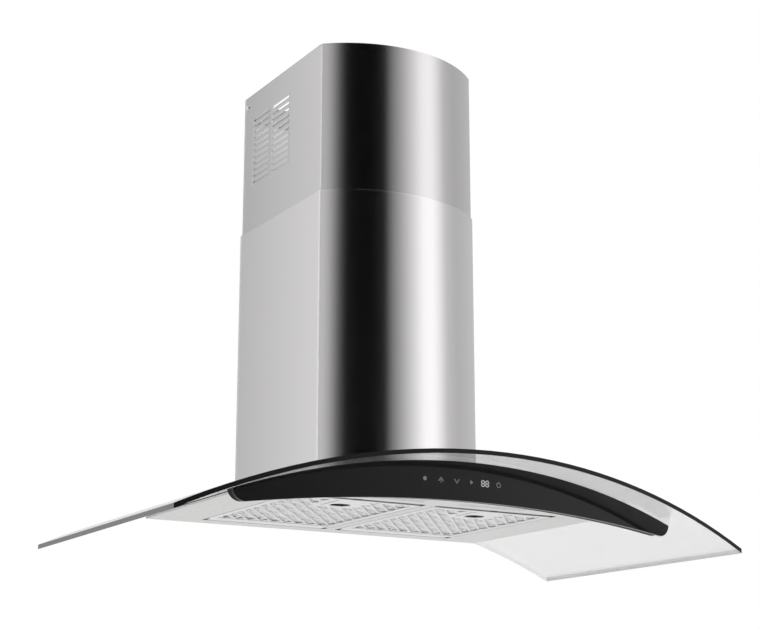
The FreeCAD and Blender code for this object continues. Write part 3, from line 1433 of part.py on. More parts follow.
ear = upper_half - s.chimney_sheet - s.slide_gap
sheet_in = s.hanger_sheet
hanger = new_body("wall_bracket")
arm_front = -s.hanger_step - sheet_in
hanger_half = [(s.hanger_half_width, zero), (s.hanger_half_width, -s.hanger_step),
               (ear, -s.hanger_step), (ear, -s.hanger_ear), (ear - sheet_in, -s.hanger_ear),
               (ear - sheet_in, arm_front), (s.hanger_half_width - sheet_in, arm_front),
               (s.hanger_half_width - sheet_in, -sheet_in)]
hanger_loop = hanger_half + [(-x, y) for x, y in reversed(hanger_half)]
add(hanger, "XY", hanger_low, hanger_low + s.hanger_tall, hanger_loop)
cut(hanger, "XZ", -sheet_in - s.overrun / 2, s.overrun,
    *[(s.hanger_bolt_spread / 2 * side, hanger_low + s.hanger_tall / 2, s.hanger_bolt_hole)
      for side in (-1, 1)])
slot_half = s.side_screw_radius + s.side_slot_gap
for side in (-1, 1):
    low_x, high_x = mirrored(ear - s.overrun, ear + s.overrun, side)
    cut(hanger, "YZ", low_x, high_x,
        [(-s.side_screw_depth - slot_half, hanger_low - s.overrun),
         (-s.side_screw_depth + slot_half, hanger_low - s.overrun),
         (-s.side_screw_depth + slot_half, side_screw_height, slot_half, 1),
         (-s.side_screw_depth, side_screw_height + slot_half, slot_half, 1),
         (-s.side_screw_depth - slot_half, side_screw_height)])
finish("wall_bracket", hanger)

# Screws in the sides of the upper chimney, which travel with it

side_screws = []
for side in (-1, 1):
    head_low, head_high = mirrored(upper_half + s.seat_gap,
                                   upper_half + s.seat_gap + s.side_screw_head_tall, side)
    side_screws.append(bar("side_screw_head", "X", head_low, -s.side_screw_depth,
                           side_screw_height, s.side_screw_head, head_high - head_low))
    shank_low, shank_high = mirrored(upper_half - s.side_screw_length,
                                     upper_half + s.seat_gap + s.side_screw_head_tall / 2, side)
    side_screws.append(bar("side_screw_shank", "X", shank_low, -s.side_screw_depth,
                           side_screw_height, s.side_screw_radius, shank_high - shank_low))
finish("bracket_screws", together("side_screw_set", side_screws))

# Electronics box on the access cover

power_back = cover_front - s.seat_gap
power_front = power_back - s.power_depth
power = new_body("power_box")
add(power, "XZ", power_front, power_back,
    rounded(-s.power_half_width, s.power_half_width, power_low, power_high, s.power_wall))
post = s.power_post
inside = s.power_half_width - s.power_wall
low_in = power_low + s.power_wall
high_in = power_high - s.power_wall
cut(power, "XZ", power_front - s.overrun, power_back - s.power_wall,
    [(-inside + post, low_in), (inside - post, low_in), (inside - post, low_in + post),
     (inside, low_in + post), (inside, high_in - post), (inside - post, high_in - post),
     (inside - post, high_in), (post - inside, high_in), (post - inside, high_in - post),
     (-inside, high_in - post), (-inside, low_in + post), (post - inside, low_in + post)])
gland_y = (power_front + power_back) / 2
cut(power, "XY", high_in - s.overrun / 2, power_high + s.overrun,
    (s.gland_centre, gland_y, s.gland_radius - s.gland_flange_tall / 2 + s.seat_gap))
cut(power, "XY", power_low - s.overrun, low_in + s.overrun / 2,
    (-s.cable_place, -cable_depth, s.cable_radius + s.slide_gap))
screw_inset = s.power_wall + post / 2
lid_places = [(x, z) for x in (screw_inset - s.power_half_width, s.power_half_width - screw_inset)
              for z in (power_low + screw_inset, power_high - screw_inset)]
lid_hole = s.lid_screw_radius + s.seat_gap
cut(power, "XZ", power_front - s.overrun, power_front + s.power_depth / 2,
    *[(x, z, lid_hole) for x, z in lid_places])
finish("power_box", power)

lid_back = power_front - s.seat_gap
lid_front = lid_back - s.power_lid
lid = new_body("power_box_lid")
add(lid, "XZ", lid_front, lid_back,
    rounded(-s.power_half_width, s.power_half_width, power_low, power_high, s.power_wall))
cut(lid, "XZ", lid_front - s.overrun, lid_back + s.overrun, *[(x, z, lid_hole) for x, z in lid_places])
finish("power_box_lid", lid)
lid_screws = []
for x, z in lid_places:
    head_face = lid_front - s.seat_gap
    lid_screws.append(bar("lid_screw_head", "Y", x, head_face - s.lid_screw_head_tall, z,
                          s.lid_screw_head, s.lid_screw_head_tall))
    lid_screws.append(bar("lid_screw_shank", "Y", x, head_face - s.lid_screw_head_tall, z,
                          s.lid_screw_radius, s.lid_screw_head_tall + s.power_depth / 3))
finish("lid_screws", together("lid_screw_set", lid_screws))

# Circuit board with relays and transformer, and the motor's capacitor

circuit_back = power_back - s.power_wall - s.circuit_gap
circuit_front = circuit_back - s.circuit_thickness
circuit = new_body("power_board")
circuit_low = low_in + post + s.circuit_margin
circuit_high = high_in - post - s.circuit_margin
add(circuit, "XZ", circuit_front, circuit_back,
    rectangle(-inside + s.seat_gap, inside - s.seat_gap, circuit_low, circuit_high))
relay = s.relay_size
for place in (-1, 0, 1):
    middle = s.relay_spread * place
    add(circuit, "XZ", circuit_front - relay * 3 / 4, circuit_front,
        rectangle(middle - relay / 2, middle + relay / 2, circuit_low + s.circuit_margin,
                  circuit_low + s.circuit_margin + relay))
add(circuit, "XZ", circuit_front - s.transformer_size * 3 / 4, circuit_front,
    rectangle(-s.transformer_size, zero, circuit_high - s.circuit_margin - s.transformer_size,
              circuit_high - s.circuit_margin))
for x in (-inside / 2, inside / 2):
    for z in (circuit_low + s.circuit_margin * 2, circuit_high - s.circuit_margin * 2):
        add(circuit, "XZ", circuit_back, power_back - s.power_wall - s.seat_gap,
            (x, z, s.circuit_margin))
finish("power_board", circuit)

can_front = circuit_front - s.capacitor_radius - s.seat_gap
can_low = circuit_low + s.circuit_margin * 2 + relay
can_top = high_in - s.circuit_margin - can_low
finish("capacitor", bar("capacitor_can", "Z", zero, zero, zero, s.capacitor_radius,
                        can_top), s.capacitor_place, can_front, can_low)

# Cable gland in the roof of the electronics box

gland = new_body("cable_gland")
waist = s.gland_radius - s.gland_flange_tall / 2
rim_share = 0.75
turn(gland, "XZ", "V_Axis",
     [(s.gland_bore, -s.gland_tail), (waist, -s.gland_tail), (waist, zero),
      (s.gland_flange, zero), (s.gland_flange, s.gland_flange_tall),
      (s.gland_radius, s.gland_flange_tall), (s.gland_radius, s.gland_tall * rim_share),
      (waist, s.gland_tall), (s.gland_bore, s.gland_tall)])
finish("cable_gland", gland, s.gland_centre, gland_y, power_high + s.seat_gap)

# Grommet in the glass for the cable to the touch board

cable_hole_z = arch_height(s.glass_arch_radius, s.cable_place)
lip_out = s.grommet_radius
grommet = new_body("cable_grommet")
reach_up = s.glass_thickness / 2 + s.slide_gap * 2
reach_down = s.glass_thickness / 2 + s.gasket_thickness + s.shell_sheet + s.slide_gap * 2
turn(grommet, "XZ", "V_Axis",
     [(s.cable_radius + s.seat_gap, -reach_down), (s.grommet_waist, -reach_down),
      (s.grommet_waist, reach_up), (lip_out, reach_up), (lip_out, reach_up + s.grommet_lip),
      (s.cable_radius + s.seat_gap, reach_up + s.grommet_lip)])
finish("cable_grommet", grommet, -s.cable_place, -cable_depth, cable_hole_z)

# Panel cable: straight runs joined by tangent arcs

turn_y = -cable_depth - s.cable_turn_run
turn_z = cable_turn_height - s.cable_turn_drop
cable_start = power_low + s.power_wall + s.overrun / 2
cable_end = board_back + s.slide_gap
route = [FreeCAD.Vector(-s.cable_place.number, y.number, z.number) for y, z in (
    (-cable_depth, cable_start), (-cable_depth, cable_turn_height),
    (turn_y, turn_z), (cable_end, cable_end_height))]
run_share = 0.45


def rounded_route(points):
    """Straight runs with an arc at each inner point, as large as its two runs allow."""
    edges = []
    radii = []
    place = points[0]
    for before, corner, after in zip(points, points[1:], points[2:]):
        back = (before - corner)
        ahead = (after - corner)
        reach = run_share * min(back.Length, ahead.Length)
        back.normalize()
        ahead.normalize()
        half_turn = (math.pi - back.getAngle(ahead)) / 2
        radii.append(reach / math.tan(half_turn))
        enter = corner + back * reach
        leave = corner + ahead * reach
        middle = (back + ahead).normalize()
        sag = radii[-1] / math.cos(half_turn) - radii[-1]
        edges.append(Part.LineSegment(place, enter).toShape())
        edges.append(Part.Arc(enter, corner + middle * sag, leave).toShape())
        place = leave
    edges.append(Part.LineSegment(place, points[-1]).toShape())
    return Part.Wire(edges), radii


path, cable_radii = rounded_route(route)
print("cable bend radii", [round(radius, 1) for radius in cable_radii])
start_direction = (route[1] - route[0]).normalize()
section = Part.Wire(Part.Circle(route[0], start_direction, s.cable_radius.number).toShape())
tube = path.makePipeShell([section], True, False)
expected = math.pi * s.cable_radius.number ** 2 * path.Length
print("cable volume", round(tube.Volume, 2), "expected", round(expected, 2))
cable = doc.addObject("Part::Feature", "cable_tube")
cable.Shape = tube
finish("panel_cable", cable)

# Build, check and export

doc.recompute()
faults = []
for item in doc.Objects:
    if "Invalid" in item.State or "Error" in item.State:
        owner = item.getParentGeoFeatureGroup()
        faults.append(f"{item.Name} of {owner.Label if owner else item.Label} is {item.State}")
    elif item.TypeId == "PartDesign::Pocket" and item.BaseFeature is not None:
        before = item.BaseFeature.Shape
        if before.isNull() or item.Shape.isNull() or item.Shape.Volume >= before.Volume:
            faults.append(f"{item.Name} of {item.getParentGeoFeatureGroup().Label} cuts nothing")
for node, piece in NODES.items():
    if piece.Shape.isNull() or not piece.Shape.isValid():
        faults.append(f"{node} has no valid shape")
for fault in faults:
    print(fault)
if faults:
    raise SystemExit("the model is not sound")

os.makedirs("parts", exist_ok=True)
for node, piece in NODES.items():
    piece.Shape.exportStep(f"parts/{node}.step")
    box_of = piece.Shape.BoundBox
    print(f"{node:22s} solids {len(piece.Shape.Solids):3d}  volume {piece.Shape.Volume:12.1f}"
          f"  X {box_of.XMin:8.2f} {box_of.XMax:8.2f}  Y {box_of.YMin:8.2f} {box_of.YMax:8.2f}"
          f"  Z {box_of.ZMin:8.2f} {box_of.ZMax:8.2f}")
print(len(NODES), "pieces")
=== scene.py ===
import math

import bmesh
import bpy
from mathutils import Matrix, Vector


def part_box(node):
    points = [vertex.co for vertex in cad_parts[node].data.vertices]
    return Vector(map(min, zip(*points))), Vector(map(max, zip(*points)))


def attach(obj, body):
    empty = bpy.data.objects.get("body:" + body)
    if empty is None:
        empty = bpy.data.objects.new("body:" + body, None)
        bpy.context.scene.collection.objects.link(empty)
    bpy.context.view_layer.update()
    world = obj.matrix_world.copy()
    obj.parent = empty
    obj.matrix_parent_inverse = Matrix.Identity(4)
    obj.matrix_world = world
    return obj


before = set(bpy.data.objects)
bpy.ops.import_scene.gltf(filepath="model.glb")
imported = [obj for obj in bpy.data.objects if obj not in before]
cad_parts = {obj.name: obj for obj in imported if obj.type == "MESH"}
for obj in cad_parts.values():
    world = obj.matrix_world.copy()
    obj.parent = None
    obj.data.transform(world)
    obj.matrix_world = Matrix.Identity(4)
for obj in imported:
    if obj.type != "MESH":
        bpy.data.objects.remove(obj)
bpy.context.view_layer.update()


# Wall plate, blower box with its cover, filter rail and brackets: hot-dip galvanised sheet
# steel, pressed and folded. The zinc shows a faint spangle of grey patches about 8 mm across.
def colour(code):
    """An sRGB hex code as a linear colour."""
    channels = [int(code[i:i + 2], 16) / 255 for i in (1, 3, 5)]
    linear = [c / 12.92 if c <= 0.04045 else ((c + 0.055) / 1.055) ** 2.4 for c in channels]
    return (*linear, 1)


def per_metre(millimetres):
    """How many features of this size lie in a metre, which is a pattern's scale."""
    return 1000 / millimetres


def node(tree, kind, sockets=None, **settings):
    """Adds a node, sets its properties, and fills its sockets with values or links."""
    made = tree.nodes.new(kind)
    for name, value in settings.items():
        setattr(made, name, value)
    for name, value in (sockets or {}).items():
        if isinstance(value, bpy.types.NodeSocket):
            tree.links.new(value, made.inputs[name])
        else:
            made.inputs[name].default_value = value
    return made


def blank(name):
    """A new material with an empty node tree."""
    material = bpy.data.materials.new(name)
    material.use_nodes = True
    material.node_tree.nodes.clear()
    return material


def paint(material, *names):
    """Gives CAD nodes this material, and smooth shading except at sharp edges."""
    for name in names:
        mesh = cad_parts[name].data
        mesh.materials.clear()
        mesh.materials.append(material)
        mesh.shade_smooth()
        mesh.set_sharp_from_angle(angle=sharp_edge)


sharp_edge = math.radians(28)
spangle_size = 8
galvanised = blank("galvanised_steel")
tree = galvanised.node_tree
place = node(tree, "ShaderNodeTexCoord").outputs["Object"]
spangle = node(tree, "ShaderNodeTexVoronoi", {"Vector": place, "Scale": per_metre(spangle_size)})
grey = node(tree, "ShaderNodeMix", {"Factor": spangle.outputs["Distance"],
                                    "A": colour("#a4a8ab"), "B": colour("#c2c5c7")},
            data_type="RGBA")
rough = node(tree, "ShaderNodeMapRange", {"Value": spangle.outputs["Distance"],
                                          "To Min": 0.32, "To Max": 0.46})
shader = node(tree, "ShaderNodeBsdfPrincipled", {"Base Color": grey.outputs["Result"],
                                                 "Metallic": 1.0, "Roughness": rough.outputs[0]})
node(tree, "ShaderNodeOutputMaterial", {"Surface": shader.outputs[0]})
paint(galvanised, "wall_plate", "blower_box", "blower_cover", "filter_rear_rail",
      "chimney_brackets", "wall_bracket", "motor_bracket")

# Screws, nuts, shaft and damper pin: zinc plated steel, turned or cold headed. The plating is
# bright, and slightly uneven in patches of about a millimetre.
plating_size = 1.1
zinc = blank("zinc_plated_steel")
tree = zinc.node_tree
place = node(tree, "ShaderNodeTexCoord").outputs["Object"]
plating = node(tree, "ShaderNodeTexNoise", {"Vector": place, "Scale": per_metre(plating_size)})
rough = node(tree, "ShaderNodeMapRange", {"Value": plating.outputs["Fac"],
                                          "To Min": 0.34, "To Max": 0.48})
shader = node(tree, "ShaderNodeBsdfPrincipled", {"Base Color": colour("#dfe0e2"),
                                                 "Metallic": 1.0, "Roughness": rough.outputs[0]})
node(tree, "ShaderNodeOutputMaterial", {"Surface": shader.outputs[0]})
paint(zinc, "panel_screws", "cover_screws", "chimney_screws", "clamp_screws", "clamp_nuts",
      "collar_screws", "bracket_screws", "lid_screws", "impeller_nut", "motor_shaft", "damper_pin")

# Fan scroll, fan wheel, duct collar and its two flaps: moulded polypropylene in dark grey,
# with the fine even grain of a textured mould.
mould_grain = 0.65
polypropylene = blank("dark_grey_polypropylene")
tree = polypropylene.node_tree
place = node(tree, "ShaderNodeTexCoord").outputs["Object"]
grain = node(tree, "ShaderNodeTexNoise", {"Vector": place, "Scale": per_metre(mould_grain),
                                          "Detail": 2.0})
bump = node(tree, "ShaderNodeBump", {"Height": grain.outputs["Fac"], "Strength": 0.15,
                                     "Distance": 0.0002})
shader = node(tree, "ShaderNodeBsdfPrincipled", {"Base Color": colour("#4a4d50"),
                                                 "Roughness": 0.5,
                                                 "Normal": bump.outputs["Normal"]})
node(tree, "ShaderNodeOutputMaterial", {"Surface": shader.outputs[0]})
paint(polypropylene, "left_scroll_half", "right_scroll_half", "impeller", "duct_collar",
      "front_damper_flap", "rear_damper_flap")

# Motor: a pressed steel can with a baked grey paint. The paint is semi-gloss, with an orange
# peel of about 3 mm.
peel_size = 3
can_paint = blank("motor_paint")
tree = can_paint.node_tree
place = node(tree, "ShaderNodeTexCoord").outputs["Object"]
peel = node(tree, "ShaderNodeTexNoise", {"Vector": place, "Scale": per_metre(peel_size)})
bump = node(tree, "ShaderNodeBump", {"Height": peel.outputs["Fac"], "Strength": 0.1,
                                     "Distance": 0.0003})
shader = node(tree, "ShaderNodeBsdfPrincipled", {"Base Color": colour("#6b6e71"),
                                                 "Roughness": 0.35,
                                                 "Normal": bump.outputs["Normal"]})
node(tree, "ShaderNodeOutputMaterial", {"Surface": shader.outputs[0]})
paint(can_paint, "motor")

# Electronics box with its lid, cable gland, touch housing, glides and filter latches: black
# moulded ABS with a matt mould grain, which leaves hardly any shine.
matt_grain = 0.45
abs_plastic = blank("black_abs")
tree = abs_plastic.node_tree
place = node(tree, "ShaderNodeTexCoord").outputs["Object"]
grain = node(tree, "ShaderNodeTexNoise", {"Vector": place, "Scale": per_metre(matt_grain),
                                          "Detail": 2.0})
bump = node(tree, "ShaderNodeBump", {"Height": grain.outputs["Fac"], "Strength": 0.12,
                                     "Distance": 0.0002})
shader = node(tree, "ShaderNodeBsdfPrincipled", {"Base Color": colour("#131314"),
                                                 "Roughness": 0.5,
                                                 "Specular IOR Level": 0.06,
                                                 "Normal": bump.outputs["Normal"]})
node(tree, "ShaderNodeOutputMaterial", {"Surface": shader.outputs[0]})
paint(abs_plastic, "power_box", "power_box_lid", "cable_gland", "control_housing",
      "chimney_glides", "left_filter_latch", "right_filter_latch")

# Circuit boards: green lacquered glass-fibre laminate. Darker lines show under the lacquer on
# a 2.5 mm raster.
line_raster = 2.5
laminate = blank("green_laminate")
tree = laminate.node_tree
place = node(tree, "ShaderNodeTexCoord").outputs["Object"]
lines = node(tree, "ShaderNodeTexBrick", {"Vector": place, "Scale": per_metre(line_raster),
                                          "Mortar Size": 0.03, "Color1": colour("#1d5a35"),
                                          "Color2": colour("#22663d"),
                                          "Mortar": colour("#123d24")})
shader = node(tree, "ShaderNodeBsdfPrincipled", {"Base Color": lines.outputs["Color"],
                                                 "Roughness": 0.3})
node(tree, "ShaderNodeOutputMaterial", {"Surface": shader.outputs[0]})
paint(laminate, "power_board", "touch_board")

# Motor capacitor: a moulded can of pale grey plastic, which stands before the circuit board in
# the electronics box. Its grey is slightly cloudy.
cloud_size = 16
capacitor_case = blank("capacitor_case")
tree = capacitor_case.node_tree
place = node(tree, "ShaderNodeTexCoord").outputs["Object"]
cloud = node(tree, "ShaderNodeTexNoise", {"Vector": place, "Scale": per_metre(cloud_size)})
grey = node(tree, "ShaderNodeMix", {"Factor": cloud.outputs["Fac"], "A": colour("#d2d2ce"),
                                    "B": colour("#dcdcd8")}, data_type="RGBA")
shader = node(tree, "ShaderNodeBsdfPrincipled", {"Base Color": grey.outputs["Result"],
                                                 "Roughness": 0.45})
node(tree, "ShaderNodeOutputMaterial", {"Surface": shader.outputs[0]})
paint(capacitor_case, "capacitor")

# Grommet, bushings and the jacket of the panel cable: black rubber with a faint bloom. The two
# gaskets are black closed-cell foam cut from sheet, with cells of half a millimetre.
bloom_size = 4
rubber = blank("black_rubber")
tree = rubber.node_tree
place = node(tree, "ShaderNodeTexCoord").outputs["Object"]
bloom = node(tree, "ShaderNodeTexNoise", {"Vector": place, "Scale": per_metre(bloom_size)})
grey = node(tree, "ShaderNodeMix", {"Factor": bloom.outputs["Fac"], "A": colour("#161616"),
                                    "B": colour("#202020")}, data_type="RGBA")
shader = node(tree, "ShaderNodeBsdfPrincipled", {"Base Color": grey.outputs["Result"],
                                                 "Roughness": 0.7})
node(tree, "ShaderNodeOutputMaterial", {"Surface": shader.outputs[0]})
paint(rubber, "cable_grommet", "glass_bushings", "panel_cable")

cell_size = 0.5
foam = blank("black_foam")
tree = foam.node_tree
place = node(tree, "ShaderNodeTexCoord").outputs["Object"]
cells = node(tree, "ShaderNodeTexVoronoi", {"Vector": place, "Scale": per_metre(cell_size)})
bump = node(tree, "ShaderNodeBump", {"Height": cells.outputs["Distance"], "Strength": 0.4,
                                     "Distance": 0.0003})
shader = node(tree, "ShaderNodeBsdfPrincipled", {"Base Color": colour("#1a1a1a"),
                                                 "Roughness": 0.85,
                                                 "Normal": bump.outputs["Normal"]})
node(tree, "ShaderNodeOutputMaterial", {"Surface": shader.outputs[0]})
paint(foam, "glass_gasket", "blower_gasket")

# Chimney covers: 0.8 mm stainless sheet bent round a bowed front, brushed along its height.
# Real brush lines are finer; they are drawn 0.4 mm wide and 62.5 mm long so that they show.
# The upper cover is a shade darker than the lower one, as painted shade
# for the dimmer light higher up.
brush_width = 0.4
brush_length = 62.5
fold_radius = 0.0045
level_tilt = 0.04


def chimney_steel(name, dull, bright):
    """The steel of one cover, brushed in two greys, with round folds and crisp level edges."""
    steel = blank(name)
    tree = steel.node_tree
    place = node(tree, "ShaderNodeTexCoord").outputs["Object"]
    across = per_metre(brush_width)
    along = per_metre(brush_length)
    stretched = node(tree, "ShaderNodeMapping", {"Vector": place,
                                                 "Scale": (across, across, along)})
    brush = node(tree, "ShaderNodeTexNoise", {"Vector": stretched.outputs[0], "Scale": 1.0,
                                              "Detail": 3.0})
    rough = node(tree, "ShaderNodeMapRange", {"Value": brush.outputs["Fac"],
                                              "To Min": 0.11, "To Max": 0.19})
    grey = node(tree, "ShaderNodeMix", {"Factor": brush.outputs["Fac"], "A": colour(dull),
                                        "B": colour(bright)}, data_type="RGBA")
    rounding = node(tree, "ShaderNodeBevel", {"Radius": fold_radius}, samples=8)
    fold = node(tree, "ShaderNodeVectorMath", {0: rounding.outputs[0], 1: (1.0, 1.0, level_tilt)},
                operation="MULTIPLY")
    geometry = node(tree, "ShaderNodeNewGeometry")
    facing = node(tree, "ShaderNodeSeparateXYZ", {"Vector": geometry.outputs["True Normal"]})
    upward = node(tree, "ShaderNodeMath", {0: facing.outputs["Z"]}, operation="ABSOLUTE")
    level = node(tree, "ShaderNodeMath", {0: upward.outputs[0], 1: 0.5},
                 operation="GREATER_THAN")
    normal = node(tree, "ShaderNodeMix", {"Factor": level.outputs[0], 4: fold.outputs[0],
                                          5: geometry.outputs["Normal"]}, data_type="VECTOR")
    shader = node(tree, "ShaderNodeBsdfPrincipled", {"Base Color": grey.outputs["Result"],
                                                     "Metallic": 1.0,
                                                     "Roughness": rough.outputs[0],
                                                     "Normal": normal.outputs[1]})
    node(tree, "ShaderNodeOutputMaterial", {"Surface": shader.outputs[0]})
    return steel


paint(chimney_steel("lower_cover_stainless_steel", "#d6d4d5", "#e1dfe0"), "lower_chimney")
# Painted shade: the upper cover's greys are darker for the dimmer light higher up.
paint(chimney_steel("upper_cover_stainless_steel", "#cac8c9", "#d5d3d4"), "upper_chimney")

# Tray and top cover of the hood: 0.8 mm stainless sheet, folded and brushed from side to side.
# The lines are those of the chimney's sheet, and leave it duller.
tray_steel = blank("tray_stainless_steel")
tree = tray_steel.node_tree
place = node(tree, "ShaderNodeTexCoord").outputs["Object"]
stretched = node(tree, "ShaderNodeMapping", {"Vector": place,
                                             "Scale": (per_metre(brush_length),
                                                       per_metre(brush_width),
                                                       per_metre(brush_width))})
brush = node(tree, "ShaderNodeTexNoise", {"Vector": stretched.outputs[0], "Scale": 1.0,
                                          "Detail": 3.0})
rough = node(tree, "ShaderNodeMapRange", {"Value": brush.outputs["Fac"],
                                          "To Min": 0.24, "To Max": 0.34})
grey = node(tree, "ShaderNodeMix", {"Factor": brush.outputs["Fac"], "A": colour("#c3c2c1"),
                                    "B": colour("#d0cfce")}, data_type="RGBA")
shader = node(tree, "ShaderNodeBsdfPrincipled", {"Base Color": grey.outputs["Result"],
                                                 "Metallic": 1.0, "Roughness": rough.outputs[0]})
node(tree, "ShaderNodeOutputMaterial", {"Surface": shader.outputs[0]})
paint(tray_steel, "hood_shell", "top_cover")

# Glass canopy: 6 mm clear toughened glass, bent to an arch and cut along a bowed front. Its
# polished front edge is painted nearly black, and its straight ends grey, the left one darker,
# as painted shade for the light through and off the glass edges. Some opacity stands for the
# pale grey haze of its faces, and it casts hardly any shadow.
edge_facing = 0.7
front_zone = -0.4
ends_blend = 0.1
canopy_glass = blank("canopy_glass")
tree = canopy_glass.node_tree
geometry = node(tree, "ShaderNodeNewGeometry")
facing = node(tree, "ShaderNodeSeparateXYZ", {"Vector": geometry.outputs["True Normal"]})
where = node(tree, "ShaderNodeSeparateXYZ", {"Vector": geometry.outputs["Position"]})
forward = node(tree, "ShaderNodeMath", {0: facing.outputs["Y"]}, operation="ABSOLUTE")
forward = node(tree, "ShaderNodeMath", {0: forward.outputs[0], 1: edge_facing},
               operation="GREATER_THAN")
fore = node(tree, "ShaderNodeMath", {0: where.outputs["Y"], 1: front_zone},
            operation="LESS_THAN")
front = node(tree, "ShaderNodeMath", {0: forward.outputs[0], 1: fore.outputs[0]},
             operation="MULTIPLY")
sideways = node(tree, "ShaderNodeMath", {0: facing.outputs["X"]}, operation="ABSOLUTE")
end = node(tree, "ShaderNodeMath", {0: sideways.outputs[0], 1: edge_facing},
           operation="GREATER_THAN")
clear = node(tree, "ShaderNodeBsdfPrincipled", {"Base Color": colour("#989697"),
                                                "Roughness": 0.0, "IOR": 1.52, "Alpha": 0.36,
                                                "Transmission Weight": 1.0})
passing = node(tree, "ShaderNodeBsdfTransparent", {"Color": colour("#f2f2f2")})
shadow = node(tree, "ShaderNodeLightPath").outputs["Is Shadow Ray"]
face = node(tree, "ShaderNodeMixShader", {0: shadow, 1: clear.outputs[0], 2: passing.outputs[0]})
# Painted shade: the front edge is an opaque near-black surface for the dark look of the glass
# edge.
painted_dark_edge = node(tree, "ShaderNodeBsdfPrincipled", {"Base Color": colour("#08090a"),
                                                    "Roughness": 0.35, "IOR": 1.52,
                                                    "Specular IOR Level": 0.2})
# Painted shade: the straight ends run from dark grey at the left to pale grey at the right.
side = node(tree, "ShaderNodeMapRange", {"Value": where.outputs["X"], "From Min": -ends_blend,
                                         "From Max": ends_blend})
painted_end_grey = node(tree, "ShaderNodeMix", {"Factor": side.outputs[0], "A": colour("#5e5f5f"),
                                         "B": colour("#d2d2d2")}, data_type="RGBA")
painted_grey_end = node(tree, "ShaderNodeBsdfPrincipled", {"Base Color": painted_end_grey.outputs["Result"],
                                                    "Roughness": 0.3, "IOR": 1.52})
fronted = node(tree, "ShaderNodeMixShader", {0: front.outputs[0], 1: face.outputs[0],
                                             2: painted_dark_edge.outputs[0]})
whole = node(tree, "ShaderNodeMixShader", {0: end.outputs[0], 1: fronted.outputs[0],
                                           2: painted_grey_end.outputs[0]})
node(tree, "ShaderNodeOutputMaterial", {"Surface": whole.outputs[0]})
paint(canopy_glass, "glass_canopy")

# Front panel: a bowed crescent of black glass, 4 mm thick and polished, bonded to the housing
# behind it. Its gloss changes faintly in broad waves of about 160 mm.
wave_size = 160
panel_black = blank("black_panel")
tree = panel_black.node_tree
place = node(tree, "ShaderNodeTexCoord").outputs["Object"]
waves = node(tree, "ShaderNodeTexNoise", {"Vector": place, "Scale": per_metre(wave_size)})
rough = node(tree, "ShaderNodeMapRange", {"Value": waves.outputs["Fac"],
                                          "To Min": 0.05, "To Max": 0.09})
shader = node(tree, "ShaderNodeBsdfPrincipled", {"Base Color": colour("#101012"), "IOR": 1.5,
                                                 "Specular IOR Level": 0.2,
                                                 "Roughness": rough.outputs[0]})
node(tree, "ShaderNodeOutputMaterial", {"Surface": shader.outputs[0]})
paint(panel_black, "front_panel")

# Display behind the panel, and the touch marks printed on the panel's face in pale grey ink:
# a dot, an arrow, a chevron, a triangle, and a ring with a gap and a stroke. The figures of
# the display shine through. Here all of them follow the bowed face and stand 0.12 mm proud.
mist_size = 5
display_window = blank("display_window")
tree = display_window.node_tree
place = node(tree, "ShaderNodeTexCoord").outputs["Object"]
mist = node(tree, "ShaderNodeTexNoise", {"Vector": place, "Scale": per_metre(mist_size)})
grey = node(tree, "ShaderNodeMix", {"Factor": mist.outputs["Fac"], "A": colour("#0d0d0d"),
                                    "B": colour("#151515")}, data_type="RGBA")
shader = node(tree, "ShaderNodeBsdfPrincipled", {"Base Color": grey.outputs["Result"],
                                                 "Roughness": 0.2})
node(tree, "ShaderNodeOutputMaterial", {"Surface": shader.outputs[0]})
paint(display_window, "display_module")

ink_grain = 0.8
ink = blank("pale_grey_ink")
tree = ink.node_tree
place = node(tree, "ShaderNodeTexCoord").outputs["Object"]
cover = node(tree, "ShaderNodeTexNoise", {"Vector": place, "Scale": per_metre(ink_grain)})
grey = node(tree, "ShaderNodeMix", {"Factor": cover.outputs["Fac"], "A": colour("#6c6c70"),
                                    "B": colour("#7e7e82")}, data_type="RGBA")
shader = node(tree, "ShaderNodeBsdfPrincipled", {"Base Color": grey.outputs["Result"],
                                                 "Roughness": 0.4})
node(tree, "ShaderNodeOutputMaterial", {"Surface": shader.outputs[0]})

glow_grain = 1.25
glow = blank("display_figures")
tree = glow.node_tree
place = node(tree, "ShaderNodeTexCoord").outputs["Object"]
cover = node(tree, "ShaderNodeTexNoise", {"Vector": place, "Scale": per_metre(glow_grain)})
grey = node(tree, "ShaderNodeMix", {"Factor": cover.outputs["Fac"], "A": colour("#b4b4b8"),
                                    "B": colour("#c4c4c8")}, data_type="RGBA")
shader = node(tree, "ShaderNodeBsdfPrincipled", {"Base Color": grey.outputs["Result"],
                                                 "Roughness": 0.4,
                                                 "Emission Color": colour("#d8d8dc"),
                                                 "Emission Strength": 0.12})
node(tree, "ShaderNodeOutputMaterial", {"Surface": shader.outputs[0]})

panel_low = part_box("front_panel")[0]
mark_height = -0.158
mark_proud = 0.00012
mark_thick = 0.0001
bow_radius = 3.2
stroke_width = 0.0011


def add_mesh(name, work, material, body):
    """Turns a bmesh into a piece of the object that rides on a body."""
    mesh = bpy.data.meshes.new(name)
    bmesh.ops.recalc_face_normals(work, faces=work.faces)
    work.to_mesh(mesh)
    work.free()
    mesh.materials.append(material)
    piece = bpy.data.objects.new(name, mesh)
    bpy.context.scene.collection.objects.link(piece)
    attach(piece, body)


def flat_mark(name, outlines, material):
    """Thin plates on the bowed face of the panel, outlined in X and rise over mark height."""
    work = bmesh.new()
    for outline in outlines:
        rings = []
        for depth in (mark_proud, mark_proud - mark_thick):
            rings.append([work.verts.new((x, panel_low.y + x * x / bow_radius / 2 - depth,
                                          mark_height + rise)) for x, rise in outline])
        work.faces.new(rings[0])
        work.faces.new(list(reversed(rings[1])))
        count = len(outline)
        for i in range(count):
            j = (i + 1) % count
            work.faces.new((rings[0][i], rings[1][i], rings[1][j], rings[0][j]))
    add_mesh(name, work, material, "hood")


